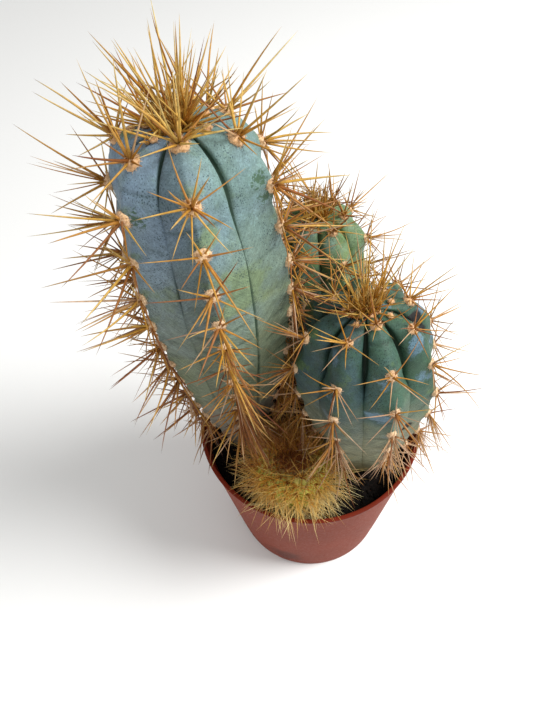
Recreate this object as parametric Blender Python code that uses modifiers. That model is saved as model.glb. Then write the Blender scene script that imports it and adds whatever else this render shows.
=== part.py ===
"""Potted blue torch cactus, in metres, +Z up.

Three ribbed blue torch stems and one small golden ball cactus stand in a round plastic nursery pot.
The origin is the middle of the pot's foot, on the surface that the pot stands on. -Y is the front.
Each plant is one solid: its ribbed body with its areole pads and its spines grown out of it.
"""

import math
import random
from dataclasses import dataclass

import bmesh
import bpy
import numpy as np
from mathutils import Matrix, Vector
from mathutils.bvhtree import BVHTree

MM = 0.001
MERGE = 0.02 * MM
GAP = 0.3 * MM
SEED = 11

# Pot: a round, tapered, thin-walled nursery pot
POT_HEIGHT = 76.0 * MM
POT_RIM_RADIUS = 42.5 * MM
POT_FOOT_RADIUS = 34.0 * MM
POT_WALL = 1.2 * MM
POT_FLOOR = 2.0 * MM
POT_LIP = 0.6 * MM
POT_LIP_HEIGHT = 3.0 * MM
POT_FOOT_EDGE = 1.5 * MM
POT_EDGE_SOFT = 0.35 * MM
POT_SIDES = 56
DRAIN_HOLES = 8
DRAIN_RADIUS = 3.2 * MM
DRAIN_RING = 24.0 * MM
DRAIN_SIDES = 12

# Soil: it fills the pot to this level, with a plain round hole for each foot
SOIL_LEVEL = 66.0 * MM
SOIL_SIDES = 40
SOIL_RINGS = 5
SOIL_BUMP = 0.55 * MM
SOIL_WAVES = (5.1 * MM, 4.3 * MM, 2.7 * MM)
SOIL_LEVEL_RING = 2.0 * MM    # level soil round each foot
SOIL_EASE = 4.0 * MM
PEG_DEPTH = 7.0 * MM
HOLE_SIDES = 24

# Spines: slim needles raised from the faces round each areole
SPINE_ROOT = 0.36 * MM
BRISTLE_ROOT = 0.26 * MM
SPINE_CLEAR = 0.45 * MM
OWN_CLEAR = 0.12 * MM
TIP_FACES = 3        # columns that share one face at the growing tip
LEAST_RISE = 0.3     # least cosine between a spine and the face that it grows from
WIDEST_ROOT = 0.8    # most of a face that a root takes
CENTRAL_TILT = (8.0, 25.0)
RADIAL_TILT = (48.0, 66.0)
TUFT_TILTS = (12.0, 24.0, 36.0)
TRIES = 14
LOOSER = math.radians(5.0)    # each new try may lean this much further
TEST_STEP = 1.2 * MM


@dataclass
class Plant:
    """One ribbed body. Lengths are in millimetres, angles in degrees from +X, towards +Y."""

    name: str
    colour: str
    foot: tuple            # where it stands in the soil
    lean: tuple            # how far the tip is from over the foot
    bow: float             # sideways bend at half height
    top: float             # height of the rib tops over the surface
    dip: float             # how far the growing tip is sunk between the ribs
    dome: float            # height of the rounded end
    foot_radius: float
    radius: float          # greatest radius, at a rib's crest
    widest: float          # share of the body's height where it is widest
    swell: float           # how fast the foot widens
    shoulder: float        # share of the radius left where the rounded end starts
    ribs: tuple            # angle of each rib's crest
    groove: tuple          # depth of the grooves, low and high, as a share of the radius
    crest: tuple           # how sharp the crests are, low and high
    first_areoles: tuple   # distance of each rib's first areole from the growing tip
    areole_step: tuple     # distance from one areole to the next, near the tip and low down
    areoles: int           # areoles along each rib
    pad_height: float      # how far an areole stands out of its rib
    pad_rows: tuple        # corner rows of an areole, as distances along the rib from its middle
    radials: int
    radial_length: tuple
    central_length: tuple
    tuft: int              # spines at the growing tip
    tuft_length: tuple
    flank: float = 0.3     # where a rib's flank is bent, as a share of the way to the groove
    spine_root: float = SPINE_ROOT


def even_ribs(count, first):
    """Crest angles of evenly spaced ribs."""
    return tuple(first + 360.0 * i / count for i in range(count))


MAIN = Plant(
    name="main_torch_stem", colour="7C9698",
    foot=(-26.2, 2.0), lean=(-2.1, -2.0), bow=0.7, top=203.5, dip=2.5, dome=14.0,
    foot_radius=6.4, radius=22.0, widest=0.79, swell=1.8, shoulder=0.86,
    ribs=(28, 72, 117, 170, 222, 275, 342), groove=(0.12, 0.25), crest=(1.2, 1.7),
    first_areoles=(12.0, 7.0, 9.0, 14.5, 13.2, 7.7, 13.1), areole_step=(13.0, 9.5), areoles=12,
    pad_height=1.1, pad_rows=(-2.2, 0.0, 2.2),
    radials=4, radial_length=(9.0, 14.0), central_length=(18.0, 29.0), tuft=12, tuft_length=(18.0, 25.0),
)
RIGHT = Plant(
    name="right_torch_stem", colour="4F6C60",
    foot=(19.6, -12.0), lean=(-5.7, -0.5), bow=0.0, top=153.5, dip=2.6, dome=14.0,
    foot_radius=8.4, radius=22.0, widest=0.87, swell=1.9, shoulder=0.86,
    ribs=(11, 50, 86, 146, 191, 236, 281, 326), groove=(0.14, 0.30), crest=(1.3, 1.8),
    first_areoles=(12.6, 8.0, 13.0, 9.8, 5.3, 12.6, 6.9, 13.5), areole_step=(14.0, 13.0), areoles=6,
    pad_height=1.1, pad_rows=(-2.2, 0.0, 2.2),
    radials=4, radial_length=(8.0, 12.0), central_length=(13.0, 19.0), tuft=9, tuft_length=(15.0, 20.0),
)
BACK = Plant(
    name="back_torch_stem", colour="68784E",
    foot=(8.0, 24.5), lean=(-2.5, 3.0), bow=0.0, top=154.5, dip=2.5, dome=13.0,
    foot_radius=9.0, radius=17.4, widest=0.66, swell=2.2, shoulder=0.9,
    ribs=even_ribs(7, 37.0), groove=(0.14, 0.28), crest=(1.3, 1.8),
    first_areoles=(7.0, 12.0, 8.0, 12.0, 7.0, 9.4, 8.5), areole_step=(11.0, 11.0), areoles=7,
    pad_height=1.1, pad_rows=(-2.2, 0.0, 2.2),
    radials=4, radial_length=(8.0, 12.0), central_length=(13.0, 19.0), tuft=8, tuft_length=(14.0, 20.0),
)
BALL = Plant(
    name="golden_ball_cactus", colour="94822E",
    foot=(-8.5, -23.0), lean=(0.0, 0.0), bow=0.0, top=91.0, dip=1.5, dome=11.0,
    foot_radius=9.5, radius=13.3, widest=0.75, swell=2.0, shoulder=0.99,
    ribs=even_ribs(20, 0.0), groove=(0.07, 0.10), crest=(1.4, 1.6),
    first_areoles=(4.0, 6.4) * 10, areole_step=(5.0, 5.0), areoles=4,
    pad_height=0.5, pad_rows=(0.0, 2.5),
    radials=2, radial_length=(8.0, 12.0), central_length=(9.0, 14.0), tuft=10, tuft_length=(5.0, 8.0),
    flank=0.0, spine_root=BRISTLE_ROOT,
)
PLANTS = (MAIN, RIGHT, BALL, BACK)

DOME_SHARE = 0.2     # share of a body's way up that makes the rounded end
LINE_STEPS = 400
ROUND_FOOT = 0.15    # share of a body's way up where the grooves fade out into the round foot
CLOSER = 0.9         # how much closer, in millimetres, each areole is than the last
TIP_ROWS = (0.4, 0.75)
FLANK_RAISED = 0.3   # share of an areole's rise that its flanks have


def ease(x):
    """0 to 1, level at both ends."""
    x = np.clip(x, 0.0, 1.0)
    return x * x * (3.0 - 2.0 * x)


def groove_share(plant, angle):
    """0 on a rib's crest, 1 in the middle of a groove."""
    crests = list(plant.ribs)
    following = crests[1:] + [crests[0] + 360.0]
    angles = []
    depths = []
    for here, after in zip(crests, following):
        angles += [here, (here + after) / 2.0]
        depths += [0.0, 1.0]
    return np.interp(angle, angles, depths, period=360.0)


def skin(plant, angle, up):
    """Point of a plant's skin, in metres. up is 0 at the soil and 1 at the growing tip."""
    angle, up = np.broadcast_arrays(np.asarray(angle, float), np.asarray(up, float))
    soil = SOIL_LEVEL / MM
    dome_foot = plant.top - plant.dome
    body = np.clip(up / (1.0 - DOME_SHARE), 0.0, 1.0)
    turn = np.clip((up - 1.0 + DOME_SHARE) / DOME_SHARE, 0.0, 1.0) * math.pi / 2.0
    grown = 1.0 - (1.0 - np.clip(body / plant.widest, 0.0, 1.0)) ** plant.swell
    drawn_in = 1.0 + (plant.shoulder - 1.0) * ease((body - plant.widest) / (1.0 - plant.widest))
    radius = (plant.foot_radius + (plant.radius - plant.foot_radius) * grown) * drawn_in * np.cos(turn)
    height = soil + (dome_foot - soil) * body + plant.dome * np.sin(turn)
    height = height - plant.dip * (1.0 - np.cos(turn)) ** 2
    high = ease(up)
    depth = plant.groove[0] + (plant.groove[1] - plant.groove[0]) * high
    crest = plant.crest[0] + (plant.crest[1] - plant.crest[0]) * high
    depth = depth * ease(up / ROUND_FOOT)
    radius = radius * (1.0 - depth * groove_share(plant, angle) ** crest)
    risen = np.clip((height - soil) / (plant.top - soil), 0.0, 1.0)
    x = plant.foot[0] + plant.lean[0] * risen + plant.bow * np.sin(math.pi * risen)
    y = plant.foot[1] + plant.lean[1] * risen
    around = np.radians(angle)
    return np.stack([x + radius * np.cos(around), y + radius * np.sin(around), height], -1) * MM


def rib_line(plant, crest):
    """A rib's crest from the growing tip down: its ups, and the distance run at each, in millimetres."""
    ups = np.linspace(1.0, 0.0, LINE_STEPS)
    steps = np.linalg.norm(np.diff(skin(plant, crest, ups), axis=0), axis=1) / MM
    return ups, np.concatenate([[0.0], np.cumsum(steps)])


def areole_runs(plant, index):
    """Distances of a rib's areoles from the growing tip, closer together low down."""
    near, far = plant.areole_step
    steps = [max(far, near - CLOSER * k) for k in range(plant.areoles - 1)]
    return plant.first_areoles[index] + np.concatenate([[0.0], np.cumsum(steps)])


def rib_rows(plant, index):
    """The ups of a rib's corner rows from the tip down to the soil, and which rows are areoles."""
    ups, run = rib_line(plant, plant.ribs[index])
    areoles = areole_runs(plant, index)
    above = areoles[0] + plant.pad_rows[0]
    runs = [above * share for share in TIP_ROWS]
    raised = [False for _ in TIP_ROWS]
    for at in areoles:
        runs += [at + row for row in plant.pad_rows]
        raised += [row == 0.0 for row in plant.pad_rows]
    return np.append(np.interp(runs, run, ups), 0.0), np.array(raised + [False])


def outward_upward(plant, angle, up):
    """Unit directions out of the skin and up along it."""
    upward = skin(plant, angle, np.minimum(up + 0.01, 1.0)) - skin(plant, angle, np.maximum(up - 0.01, 0.0))
    across = skin(plant, angle + 4.0, up) - skin(plant, angle - 4.0, up)
    outward = np.cross(across, upward)
    outward = outward / np.linalg.norm(outward, axis=-1, keepdims=True)
    return outward, upward / np.linalg.norm(upward, axis=-1, keepdims=True)


def columns(plant):
    """Each column of corners from the tip down, rib after rib: crest, flank, groove, flank."""
    crests = list(plant.ribs)
    following = crests[1:] + [crests[0] + 360.0]
    rows = [rib_rows(plant, i) for i in range(len(crests))]
    made = []
    for i, (here, after) in enumerate(zip(crests, following)):
        ups, raised = rows[i]
        next_ups, next_raised = rows[(i + 1) % len(crests)]
        half = (after - here) / 2.0
        made.append((here, ups, raised * plant.pad_height))
        if plant.flank:
            made.append((here + half * plant.flank, ups, raised * plant.pad_height * FLANK_RAISED))
        made.append((here + half, (ups + next_ups) / 2.0, raised * 0.0))
        if plant.flank:
            made.append((after - half * plant.flank, next_ups, next_raised * plant.pad_height * FLANK_RAISED))
    return made


def hex_colour(code):
    """sRGB hex code to linear RGBA."""
    values = [int(code[i:i + 2], 16) / 255.0 for i in (0, 2, 4)]
    linear = [v / 12.92 if v <= 0.04045 else ((v + 0.055) / 1.055) ** 2.4 for v in values]
    return (*linear, 1.0)


def material(name, code, roughness, metallic=0.0):
    """A plain Principled material."""
    made = bpy.data.materials.new(name)
    made.use_nodes = True
    shader = made.node_tree.nodes["Principled BSDF"]
    shader.inputs["Base Color"].default_value = hex_colour(code)
    shader.inputs["Roughness"].default_value = roughness
    shader.inputs["Metallic"].default_value = metallic
    return made


def new_object(name, mesh, collection):
    """Link a mesh as an object."""
    made = bpy.data.objects.new(name, mesh)
    collection.objects.link(made)
    return made


def mesh_from(name, build):
    """A mesh filled by a function that takes a bmesh."""
    shape = bmesh.new()
    build(shape)
    mesh = bpy.data.meshes.new(name)
    shape.to_mesh(mesh)
    shape.free()
    return mesh


def turned(name, profile, sides, collection):
    """A closed turned shape. The profile is (radius, height), from the top inside over and down outside."""
    mesh = bpy.data.meshes.new(name)
    points = [(r, 0.0, z) for r, z in profile]
    mesh.from_pydata(points, [(i, i + 1) for i in range(len(points) - 1)], [])
    made = new_object(name, mesh, collection)
    screw = made.modifiers.new("turn", "SCREW")
    screw.steps = sides
    screw.render_steps = sides
    screw.use_merge_vertices = True
    screw.merge_threshold = MERGE
    screw.use_smooth_shade = True
    return made


def wall_radius(height):
    """Outer radius of the pot's wall at a height."""
    top = POT_RIM_RADIUS - POT_LIP
    return POT_FOOT_RADIUS + (top - POT_FOOT_RADIUS) * height / POT_HEIGHT


def cylinder_cutter(name, x, y, radius, low, high, sides, collection):
    """An upright round cutter between two heights."""
    def build(shape):
        middle = Matrix.Translation((x, y, (low + high) / 2.0))
        bmesh.ops.create_cone(
            shape, cap_ends=True, segments=sides, radius1=radius, radius2=radius, depth=high - low,
            matrix=middle)
    made = new_object(name, mesh_from(name, build), collection)
    made.hide_render = True
    made.display_type = "WIRE"
    return made


def cut(target, cutter):
    """Take a cutter out of an object."""
    boolean = target.modifiers.new("cut " + cutter.name, "BOOLEAN")
    boolean.operation = "DIFFERENCE"
    boolean.object = cutter


def make_pot(parts, cutters):
    """The pot's shell, with a small lip and drain holes round a solid middle."""
    lip_foot = POT_HEIGHT - POT_LIP_HEIGHT
    inner_top = POT_RIM_RADIUS - POT_LIP - POT_WALL
    inner_foot = wall_radius(POT_FLOOR) - POT_WALL
    soft = POT_EDGE_SOFT
    profile = [
        (0.0, POT_FLOOR),
        (inner_foot, POT_FLOOR),
        (inner_top, POT_HEIGHT - soft),
        (inner_top + soft, POT_HEIGHT),
        (POT_RIM_RADIUS - soft, POT_HEIGHT),
        (POT_RIM_RADIUS, POT_HEIGHT - soft),
        (wall_radius(lip_foot) + POT_LIP, lip_foot + soft),
        (wall_radius(lip_foot), lip_foot),
        (wall_radius(POT_FOOT_EDGE), POT_FOOT_EDGE),
        (POT_FOOT_RADIUS - POT_FOOT_EDGE, 0.0),
        (0.0, 0.0),
    ]
    pot = turned("pot", profile, POT_SIDES, parts)
    for i in range(DRAIN_HOLES):
        turn = 2.0 * math.pi * (i + 0.5) / DRAIN_HOLES
        x = DRAIN_RING * math.cos(turn)
        y = DRAIN_RING * math.sin(turn)
        cut(pot, cylinder_cutter(f"drain_{i}", x, y, DRAIN_RADIUS, -MM, POT_FLOOR + MM, DRAIN_SIDES, cutters))
    pot.data.materials.append(material("terracotta polypropylene", "9A5A4A", 0.45))
    return pot


def soil_edge(height):
    """Radius of the soil at a height: the pot's inner wall, less the gap."""
    return wall_radius(height) - POT_WALL - GAP


def soil_height(x, y):
    """Level of the soil's top: uneven, and level beside the pot and round each foot."""
    long, wide, short = SOIL_WAVES
    wave = math.sin(x / long) * math.cos(y / wide) + 0.6 * math.sin((x + y) / short)
    free = soil_edge(SOIL_LEVEL) - math.hypot(x, y)
    for plant in PLANTS:
        reach = math.hypot(x - plant.foot[0] * MM, y - plant.foot[1] * MM)
        free = min(free, reach - plant.foot_radius * MM - SOIL_LEVEL_RING)
    return SOIL_LEVEL + SOIL_BUMP * wave * float(ease(free / SOIL_EASE))


def make_soil(parts, cutters):
    """The soil: a tapered plug with an uneven top and a plain hole for each foot."""
    floor = POT_FLOOR + GAP

    def build(shape):
        rings = []
        for k in range(1, SOIL_RINGS + 1):
            ring = []
            for i in range(SOIL_SIDES):
                turn = 2.0 * math.pi * i / SOIL_SIDES
                reach = soil_edge(SOIL_LEVEL) * k / SOIL_RINGS
                x = reach * math.cos(turn)
                y = reach * math.sin(turn)
                ring.append(shape.verts.new((x, y, soil_height(x, y))))
            rings.append(ring)
        low = soil_edge(floor)
        turns = [2.0 * math.pi * i / SOIL_SIDES for i in range(SOIL_SIDES)]
        rings.append([shape.verts.new((low * math.cos(t), low * math.sin(t), floor)) for t in turns])
        middle = shape.verts.new((0.0, 0.0, soil_height(0.0, 0.0)))
        join_rings(shape, rings, middle)
        shape.faces.new(list(reversed(rings[-1])))
        bmesh.ops.recalc_face_normals(shape, faces=shape.faces)

    soil = new_object("soil", mesh_from("soil", build), parts)
    for plant in PLANTS:
        x, y = (v * MM for v in plant.foot)
        low = SOIL_LEVEL - PEG_DEPTH - GAP
        radius = plant.foot_radius * MM + GAP
        top = SOIL_LEVEL + 2.0 * SOIL_BUMP + MM
        cut(soil, cylinder_cutter("hole_" + plant.name, x, y, radius, low, top, HOLE_SIDES, cutters))
    soil.data.materials.append(material("peat soil", "1C1612", 0.95))
    return soil


def join_rings(shape, rings, pole):
    """Faces between a pole and rings of corners, from the pole outwards."""
    count = len(rings[0])
    for i in range(count):
        shape.faces.new((pole, rings[0][i], rings[0][(i + 1) % count]))
    for inner, outer in zip(rings, rings[1:]):
        for i in range(count):
            after = (i + 1) % count
            shape.faces.new((inner[i], outer[i], outer[after], inner[after]))


class Body:
    """A plant's ribbed body while its spines are raised from it."""

    def __init__(self, plant):
        self.plant = plant
        self.shape = bmesh.new()
        lines = []
        raised_rows = []
        for angle, ups, raised in columns(plant):
            outward, _ = outward_upward(plant, angle, ups)
            lines.append(skin(plant, angle, ups) + outward * raised[:, None] * MM)
            raised_rows.append(np.flatnonzero(raised == plant.pad_height))
        new_corner = self.shape.verts.new
        rings = [[new_corner(line[row]) for line in lines] for row in range(len(lines[0]))]
        rings.append([new_corner((line[-1][0], line[-1][1], SOIL_LEVEL - PEG_DEPTH)) for line in lines])
        self.close(rings)
        self.tree = BVHTree.FromBMesh(self.shape)
        across = len(lines) // len(plant.ribs)
        self.areoles = []
        for index in range(len(plant.ribs)):
            ups = rib_rows(plant, index)[0]
            for row in raised_rows[index * across]:
                frame = outward_upward(plant, plant.ribs[index], ups[row])
                self.areoles.append((rings[row][index * across], *frame))

    def close(self, rings):
        """Faces between the rings, in triangles, with a few broad faces at the tip and one under the foot."""
        shape = self.shape
        count = len(rings[0])
        sides = []
        for inner, outer in zip(rings, rings[1:]):
            for i in range(count):
                after = (i + 1) % count
                sides.append(shape.faces.new((inner[i], outer[i], outer[after], inner[after])))
        pole = shape.verts.new(skin(self.plant, 0.0, 1.0))
        self.tip_faces = []
        for i in range(0, count, TIP_FACES):
            last = min(i + TIP_FACES, count)
            edge = [rings[0][k % count] for k in range(i, last + 1)]
            self.tip_faces.append(shape.faces.new([pole] + edge))
        shape.faces.new(list(reversed(rings[-1])))
        bmesh.ops.recalc_face_normals(shape, faces=shape.faces)
        bmesh.ops.triangulate(shape, faces=sides)

    def raise_spine(self, face, root, tip):
        """Turn the middle of a face into the root of a needle that ends at the tip."""
        middle = face.calc_center_median()
        corners = list(face.verts)
        reach = sum((corner.co - middle).length for corner in corners) / len(corners)
        share = min(root / reach, WIDEST_ROOT)
        inner = [self.shape.verts.new(middle + (corner.co - middle) * share) for corner in corners]
        self.shape.faces.remove(face)
        end = self.shape.verts.new(tip)
        for i in range(len(corners)):
            after = (i + 1) % len(corners)
            self.shape.faces.new((corners[i], corners[after], inner[after], inner[i]))
            self.shape.faces.new((inner[i], inner[after], end))

    def finish(self, parts):
        """The finished plant, in the collection."""
        mesh = bpy.data.meshes.new(self.plant.name)
        self.shape.to_mesh(mesh)
        self.shape.free()
        made = new_object(self.plant.name, mesh, parts)
        name = self.plant.name.replace("_", " ") + " skin"
        made.data.materials.append(material(name, self.plant.colour, 0.6))
        return made


def needle_gap(start, end, starts, ends, root):
    """Least distance from one needle's skin to each of many, all of them tapered to a point."""
    d1 = end - start
    d2 = ends - starts
    r = start - starts
    a = d1 @ d1
    e = np.einsum("ij,ij->i", d2, d2)
    f = np.einsum("ij,ij->i", d2, r)
    c = r @ d1
    b = d2 @ d1
    across = np.maximum(a * e - b * b, 1e-18)
    s = np.clip((b * f - c * e) / across, 0.0, 1.0)
    t = np.clip((b * s + f) / e, 0.0, 1.0)
    s = np.clip((b * t - c) / a, 0.0, 1.0)
    near = start + s[:, None] * d1 - starts - t[:, None] * d2
    return np.linalg.norm(near, axis=1) - root * (2.0 - s - t)


class Garden:
    """What is already standing, to keep each new spine clear of it."""

    def __init__(self, bodies, still):
        depsgraph = bpy.context.evaluated_depsgraph_get()
        self.trees = {body.plant.name: body.tree for body in bodies}
        for thing in still:
            self.trees[thing.name] = BVHTree.FromObject(thing, depsgraph)
        self.starts = {body.plant.name: [] for body in bodies}
        self.ends = {body.plant.name: [] for body in bodies}

    def clear_of_skin(self, owner, start, way, length):
        """No point of the spine touches another piece or dips back into its own plant."""
        for reach in np.append(np.arange(TEST_STEP, length, TEST_STEP), length):
            point = Vector(start + way * reach)
            if point.z < MM:
                return False
            for name, tree in self.trees.items():
                near, normal, _, distance = tree.find_nearest(point)
                keep = SPINE_ROOT + SPINE_CLEAR
                if name == owner:
                    keep = SPINE_ROOT * (1.0 - reach / length) + OWN_CLEAR
                if distance < keep or (point - near).dot(normal) < 0.0:
                    return False
        return True

    def clear_of_spines(self, owner, start, end):
        """The spine passes every other one."""
        for name in self.starts:
            if not self.starts[name]:
                continue
            keep = OWN_CLEAR if name == owner else SPINE_CLEAR
            gaps = needle_gap(start, end, np.array(self.starts[name]), np.array(self.ends[name]), SPINE_ROOT)
            if gaps.min() < keep:
                return False
        return True

    def add(self, owner, start, end):
        """Note a spine that stands."""
        self.starts[owner].append(start)
        self.ends[owner].append(end)


def tilted(outward, upward, tilt, turn):
    """Unit direction tilted from outward by tilt, towards upward turned by turn."""
    sideways = np.cross(outward, upward)
    lying = math.cos(turn) * upward + math.sin(turn) * sideways
    return math.cos(tilt) * outward + math.sin(tilt) * lying


def grow_spine(body, garden, draw, seat, faces, tilt, turn, length):
    """Raise one spine, bent clear of what it would cross, or leave it out where nothing is clear."""
    middle, outward, upward = seat
    for attempt in range(TRIES):
        loose = attempt * LOOSER
        bent = max(0.0, tilt + draw.uniform(-loose, loose) - loose * 0.4)
        way = tilted(outward, upward, bent, turn + draw.uniform(-loose, loose) * 2.0)
        free = [face for face in faces if face.is_valid]
        if not free:
            return
        face = max(free, key=lambda f: (f.calc_center_median() - middle).normalized().dot(Vector(way)))
        if face.normal.dot(Vector(way)) < LEAST_RISE:
            continue
        start = np.array(face.calc_center_median())
        end = start + way * length
        if garden.clear_of_skin(body.plant.name, start, way, length):
            if garden.clear_of_spines(body.plant.name, start, end):
                garden.add(body.plant.name, start, end)
                body.raise_spine(face, body.plant.spine_root, Vector(end))
                return


def grow_spines(body, garden):
    """The tuft at the tip, then every areole: one long central spine and a ring of shorter ones."""
    plant = body.plant
    draw = random.Random(SEED + sum(ord(c) for c in plant.name))
    up = np.array((0.0, 0.0, 1.0))
    seat = (Vector(skin(plant, 0.0, 1.0)), up, np.array((0.0, 1.0, 0.0)))
    tip_faces = body.tip_faces
    for k in range(plant.tuft):
        turn = 2.0 * math.pi * k / plant.tuft + draw.uniform(-0.2, 0.2)
        tilt = math.radians(draw.choice(TUFT_TILTS) + draw.uniform(-5.0, 5.0))
        grow_spine(body, garden, draw, seat, tip_faces, tilt, turn, draw.uniform(*plant.tuft_length) * MM)
    for corner, outward, upward in body.areoles:
        seat = (corner.co.copy(), outward, upward)
        faces = [face for face in corner.link_faces if len(face.verts) == 3]
        tilt = math.radians(draw.uniform(*CENTRAL_TILT))
        length = draw.uniform(*plant.central_length) * MM
        first = draw.uniform(0.0, 2.0 * math.pi)
        grow_spine(body, garden, draw, seat, faces, tilt, first, length)
        for k in range(plant.radials):
            turn = first + 2.0 * math.pi * (k + 0.5) / plant.radials + draw.uniform(-0.3, 0.3)
            tilt = math.radians(draw.uniform(*RADIAL_TILT))
            length = draw.uniform(*plant.radial_length) * MM
            grow_spine(body, garden, draw, seat, faces, tilt, turn, length)


def new_collection(name):
    """A collection in the scene."""
    made = bpy.data.collections.new(name)
    bpy.context.scene.collection.children.link(made)
    return made


def main():
    """Build every piece."""
    for thing in list(bpy.data.objects):
        bpy.data.objects.remove(thing)
    parts = new_collection("potted_blue_torch_cactus")
    cutters = new_collection("cutters")
    still = (make_pot(parts, cutters), make_soil(parts, cutters))
    bpy.context.view_layer.update()
    bodies = [Body(plant) for plant in PLANTS]
    garden = Garden(bodies, still)
    for body in bodies:
        grow_spines(body, garden)
        body.finish(parts)


main()
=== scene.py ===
"""Looks of the potted blue torch cactus.

Three waxy torch stems and a small golden ball cactus, with their felt, spines and bristles, stand in
peat in a thin moulded nursery pot. Lengths are in millimetres where a name or comment says so, and in
metres elsewhere. The plants repeat the rules of form that the construction model has.
"""

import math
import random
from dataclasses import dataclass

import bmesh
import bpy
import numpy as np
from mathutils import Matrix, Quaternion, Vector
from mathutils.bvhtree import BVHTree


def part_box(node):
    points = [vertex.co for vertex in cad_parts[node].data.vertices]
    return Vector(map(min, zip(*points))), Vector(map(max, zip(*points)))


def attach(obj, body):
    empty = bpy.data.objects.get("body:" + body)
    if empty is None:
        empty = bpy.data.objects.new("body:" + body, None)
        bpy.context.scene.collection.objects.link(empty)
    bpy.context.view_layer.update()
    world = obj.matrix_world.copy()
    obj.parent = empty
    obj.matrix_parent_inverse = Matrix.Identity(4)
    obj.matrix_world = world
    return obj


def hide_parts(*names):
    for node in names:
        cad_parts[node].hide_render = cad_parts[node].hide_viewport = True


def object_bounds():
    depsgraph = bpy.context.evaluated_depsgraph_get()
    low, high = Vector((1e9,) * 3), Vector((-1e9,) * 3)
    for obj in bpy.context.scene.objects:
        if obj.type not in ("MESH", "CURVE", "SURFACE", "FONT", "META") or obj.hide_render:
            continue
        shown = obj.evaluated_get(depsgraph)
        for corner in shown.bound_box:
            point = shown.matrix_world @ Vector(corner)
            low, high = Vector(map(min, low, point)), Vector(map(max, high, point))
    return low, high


bl_info = {
    "name": "Potted blue torch cactus",
    "version": (1, 0, 0),
    "blender": (4, 5, 0),
    "location": "3D View > Sidebar > Cactus",
    "description": "Builds the finished surfaces of a potted blue torch cactus around its construction model",
    "category": "Object",
}

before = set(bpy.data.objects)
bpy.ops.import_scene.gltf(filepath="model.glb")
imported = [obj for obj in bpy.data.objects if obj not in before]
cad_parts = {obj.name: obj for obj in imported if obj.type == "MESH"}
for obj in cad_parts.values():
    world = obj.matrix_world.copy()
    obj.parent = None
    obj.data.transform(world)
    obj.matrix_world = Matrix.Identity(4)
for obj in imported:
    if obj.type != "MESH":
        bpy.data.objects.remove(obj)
CAD_LOW, CAD_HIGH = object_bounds()

MM = 0.001
FULL_TURN = 2.0 * math.pi
PER_SQUARE_METRE = 1.0e6   # square millimetres
BODY = "root"

# Camera, in millimetres from the centre of the pot's foot. Its frame is 533 by 711 pixels.
FRAME_HEIGHT_PX = 711.0
FOCAL_PX = 560.0
SENSOR = 36.0
CAMERA_PLACE = (-14.1, -111.7, 266.2)
CAMERA_AIM = (0.0, 0.6026, -0.7981)
CAMERA_ROLL = -5.55

# Form of the plants, the same rules and values as in the construction model
SOIL_LEVEL = 66.0
DOME_SHARE = 0.2       # share of the way up that the dome takes
ROUND_FOOT = 0.15      # share of the way up where the foot turns from round to grooved
CLOSER = 0.9           # how much closer than the last each areole down a rib is, millimetres
LINE_STEPS = 400       # points on the line down a rib's crest
SUNK = 2.5             # how far a stem's foot goes down into the soil, millimetres
PROBE_UP = 0.01        # steps by which the skin's directions are measured, a share of the way up and degrees
PROBE_TURN = 4.0


@dataclass
class Plant:
    """A ribbed body's form, in millimetres and degrees."""
    node: str
    slot: str
    foot: tuple
    lean: tuple
    top: float
    dip: float
    dome: float
    foot_radius: float
    radius: float
    widest: float
    swell: float
    shoulder: float
    ribs: tuple
    groove: tuple
    crest: tuple
    first_areoles: tuple
    areole_step: tuple
    areoles: int
    bow: float = 0.0


def even_ribs(count, first):
    """Rib angles evenly round a body."""
    return tuple(first + 360.0 * k / count for k in range(count))


MAIN = Plant(
    node="main_torch_stem", slot="blue_stem",
    foot=(-26.2, 2.0), lean=(-2.1, -2.0), bow=0.7, top=203.5, dip=2.5, dome=14.0,
    foot_radius=6.4, radius=22.0, widest=0.79, swell=1.8, shoulder=0.86,
    ribs=(28.0, 72.0, 117.0, 170.0, 222.0, 275.0, 342.0), groove=(0.12, 0.25), crest=(1.2, 1.7),
    first_areoles=(12.0, 7.0, 9.0, 14.5, 13.2, 7.7, 13.1), areole_step=(13.0, 9.5), areoles=12,
)
RIGHT = Plant(
    node="right_torch_stem", slot="blue_green_stem",
    foot=(19.6, -12.0), lean=(-5.7, -0.5), top=153.5, dip=2.6, dome=14.0,
    foot_radius=8.4, radius=22.0, widest=0.87, swell=1.9, shoulder=0.86,
    ribs=(11.0, 50.0, 86.0, 146.0, 191.0, 236.0, 281.0, 326.0), groove=(0.14, 0.30), crest=(1.3, 1.8),
    first_areoles=(12.6, 8.0, 13.0, 9.8, 5.3, 12.6, 6.9, 13.5), areole_step=(14.0, 13.0), areoles=6,
)
BACK = Plant(
    node="back_torch_stem", slot="green_stem",
    foot=(8.0, 24.5), lean=(-2.5, 3.0), top=154.5, dip=2.5, dome=13.0,
    foot_radius=9.0, radius=17.4, widest=0.66, swell=2.2, shoulder=0.9,
    ribs=even_ribs(7, 37.0), groove=(0.14, 0.28), crest=(1.3, 1.8),
    first_areoles=(7.0, 12.0, 8.0, 12.0, 7.0, 9.4, 8.5), areole_step=(11.0, 11.0), areoles=7,
)
BALL = Plant(
    node="golden_ball_cactus", slot="golden_ball",
    foot=(-8.5, -23.0), lean=(0.0, 0.0), top=91.0, dip=1.5, dome=11.0,
    foot_radius=9.5, radius=13.3, widest=0.75, swell=2.0, shoulder=0.99,
    ribs=even_ribs(20, 0.0), groove=(0.07, 0.10), crest=(1.4, 1.6),
    first_areoles=(4.0, 6.4) * 10, areole_step=(5.0, 5.0), areoles=4,
)
PLANTS = (MAIN, RIGHT, BACK, BALL)


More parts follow.
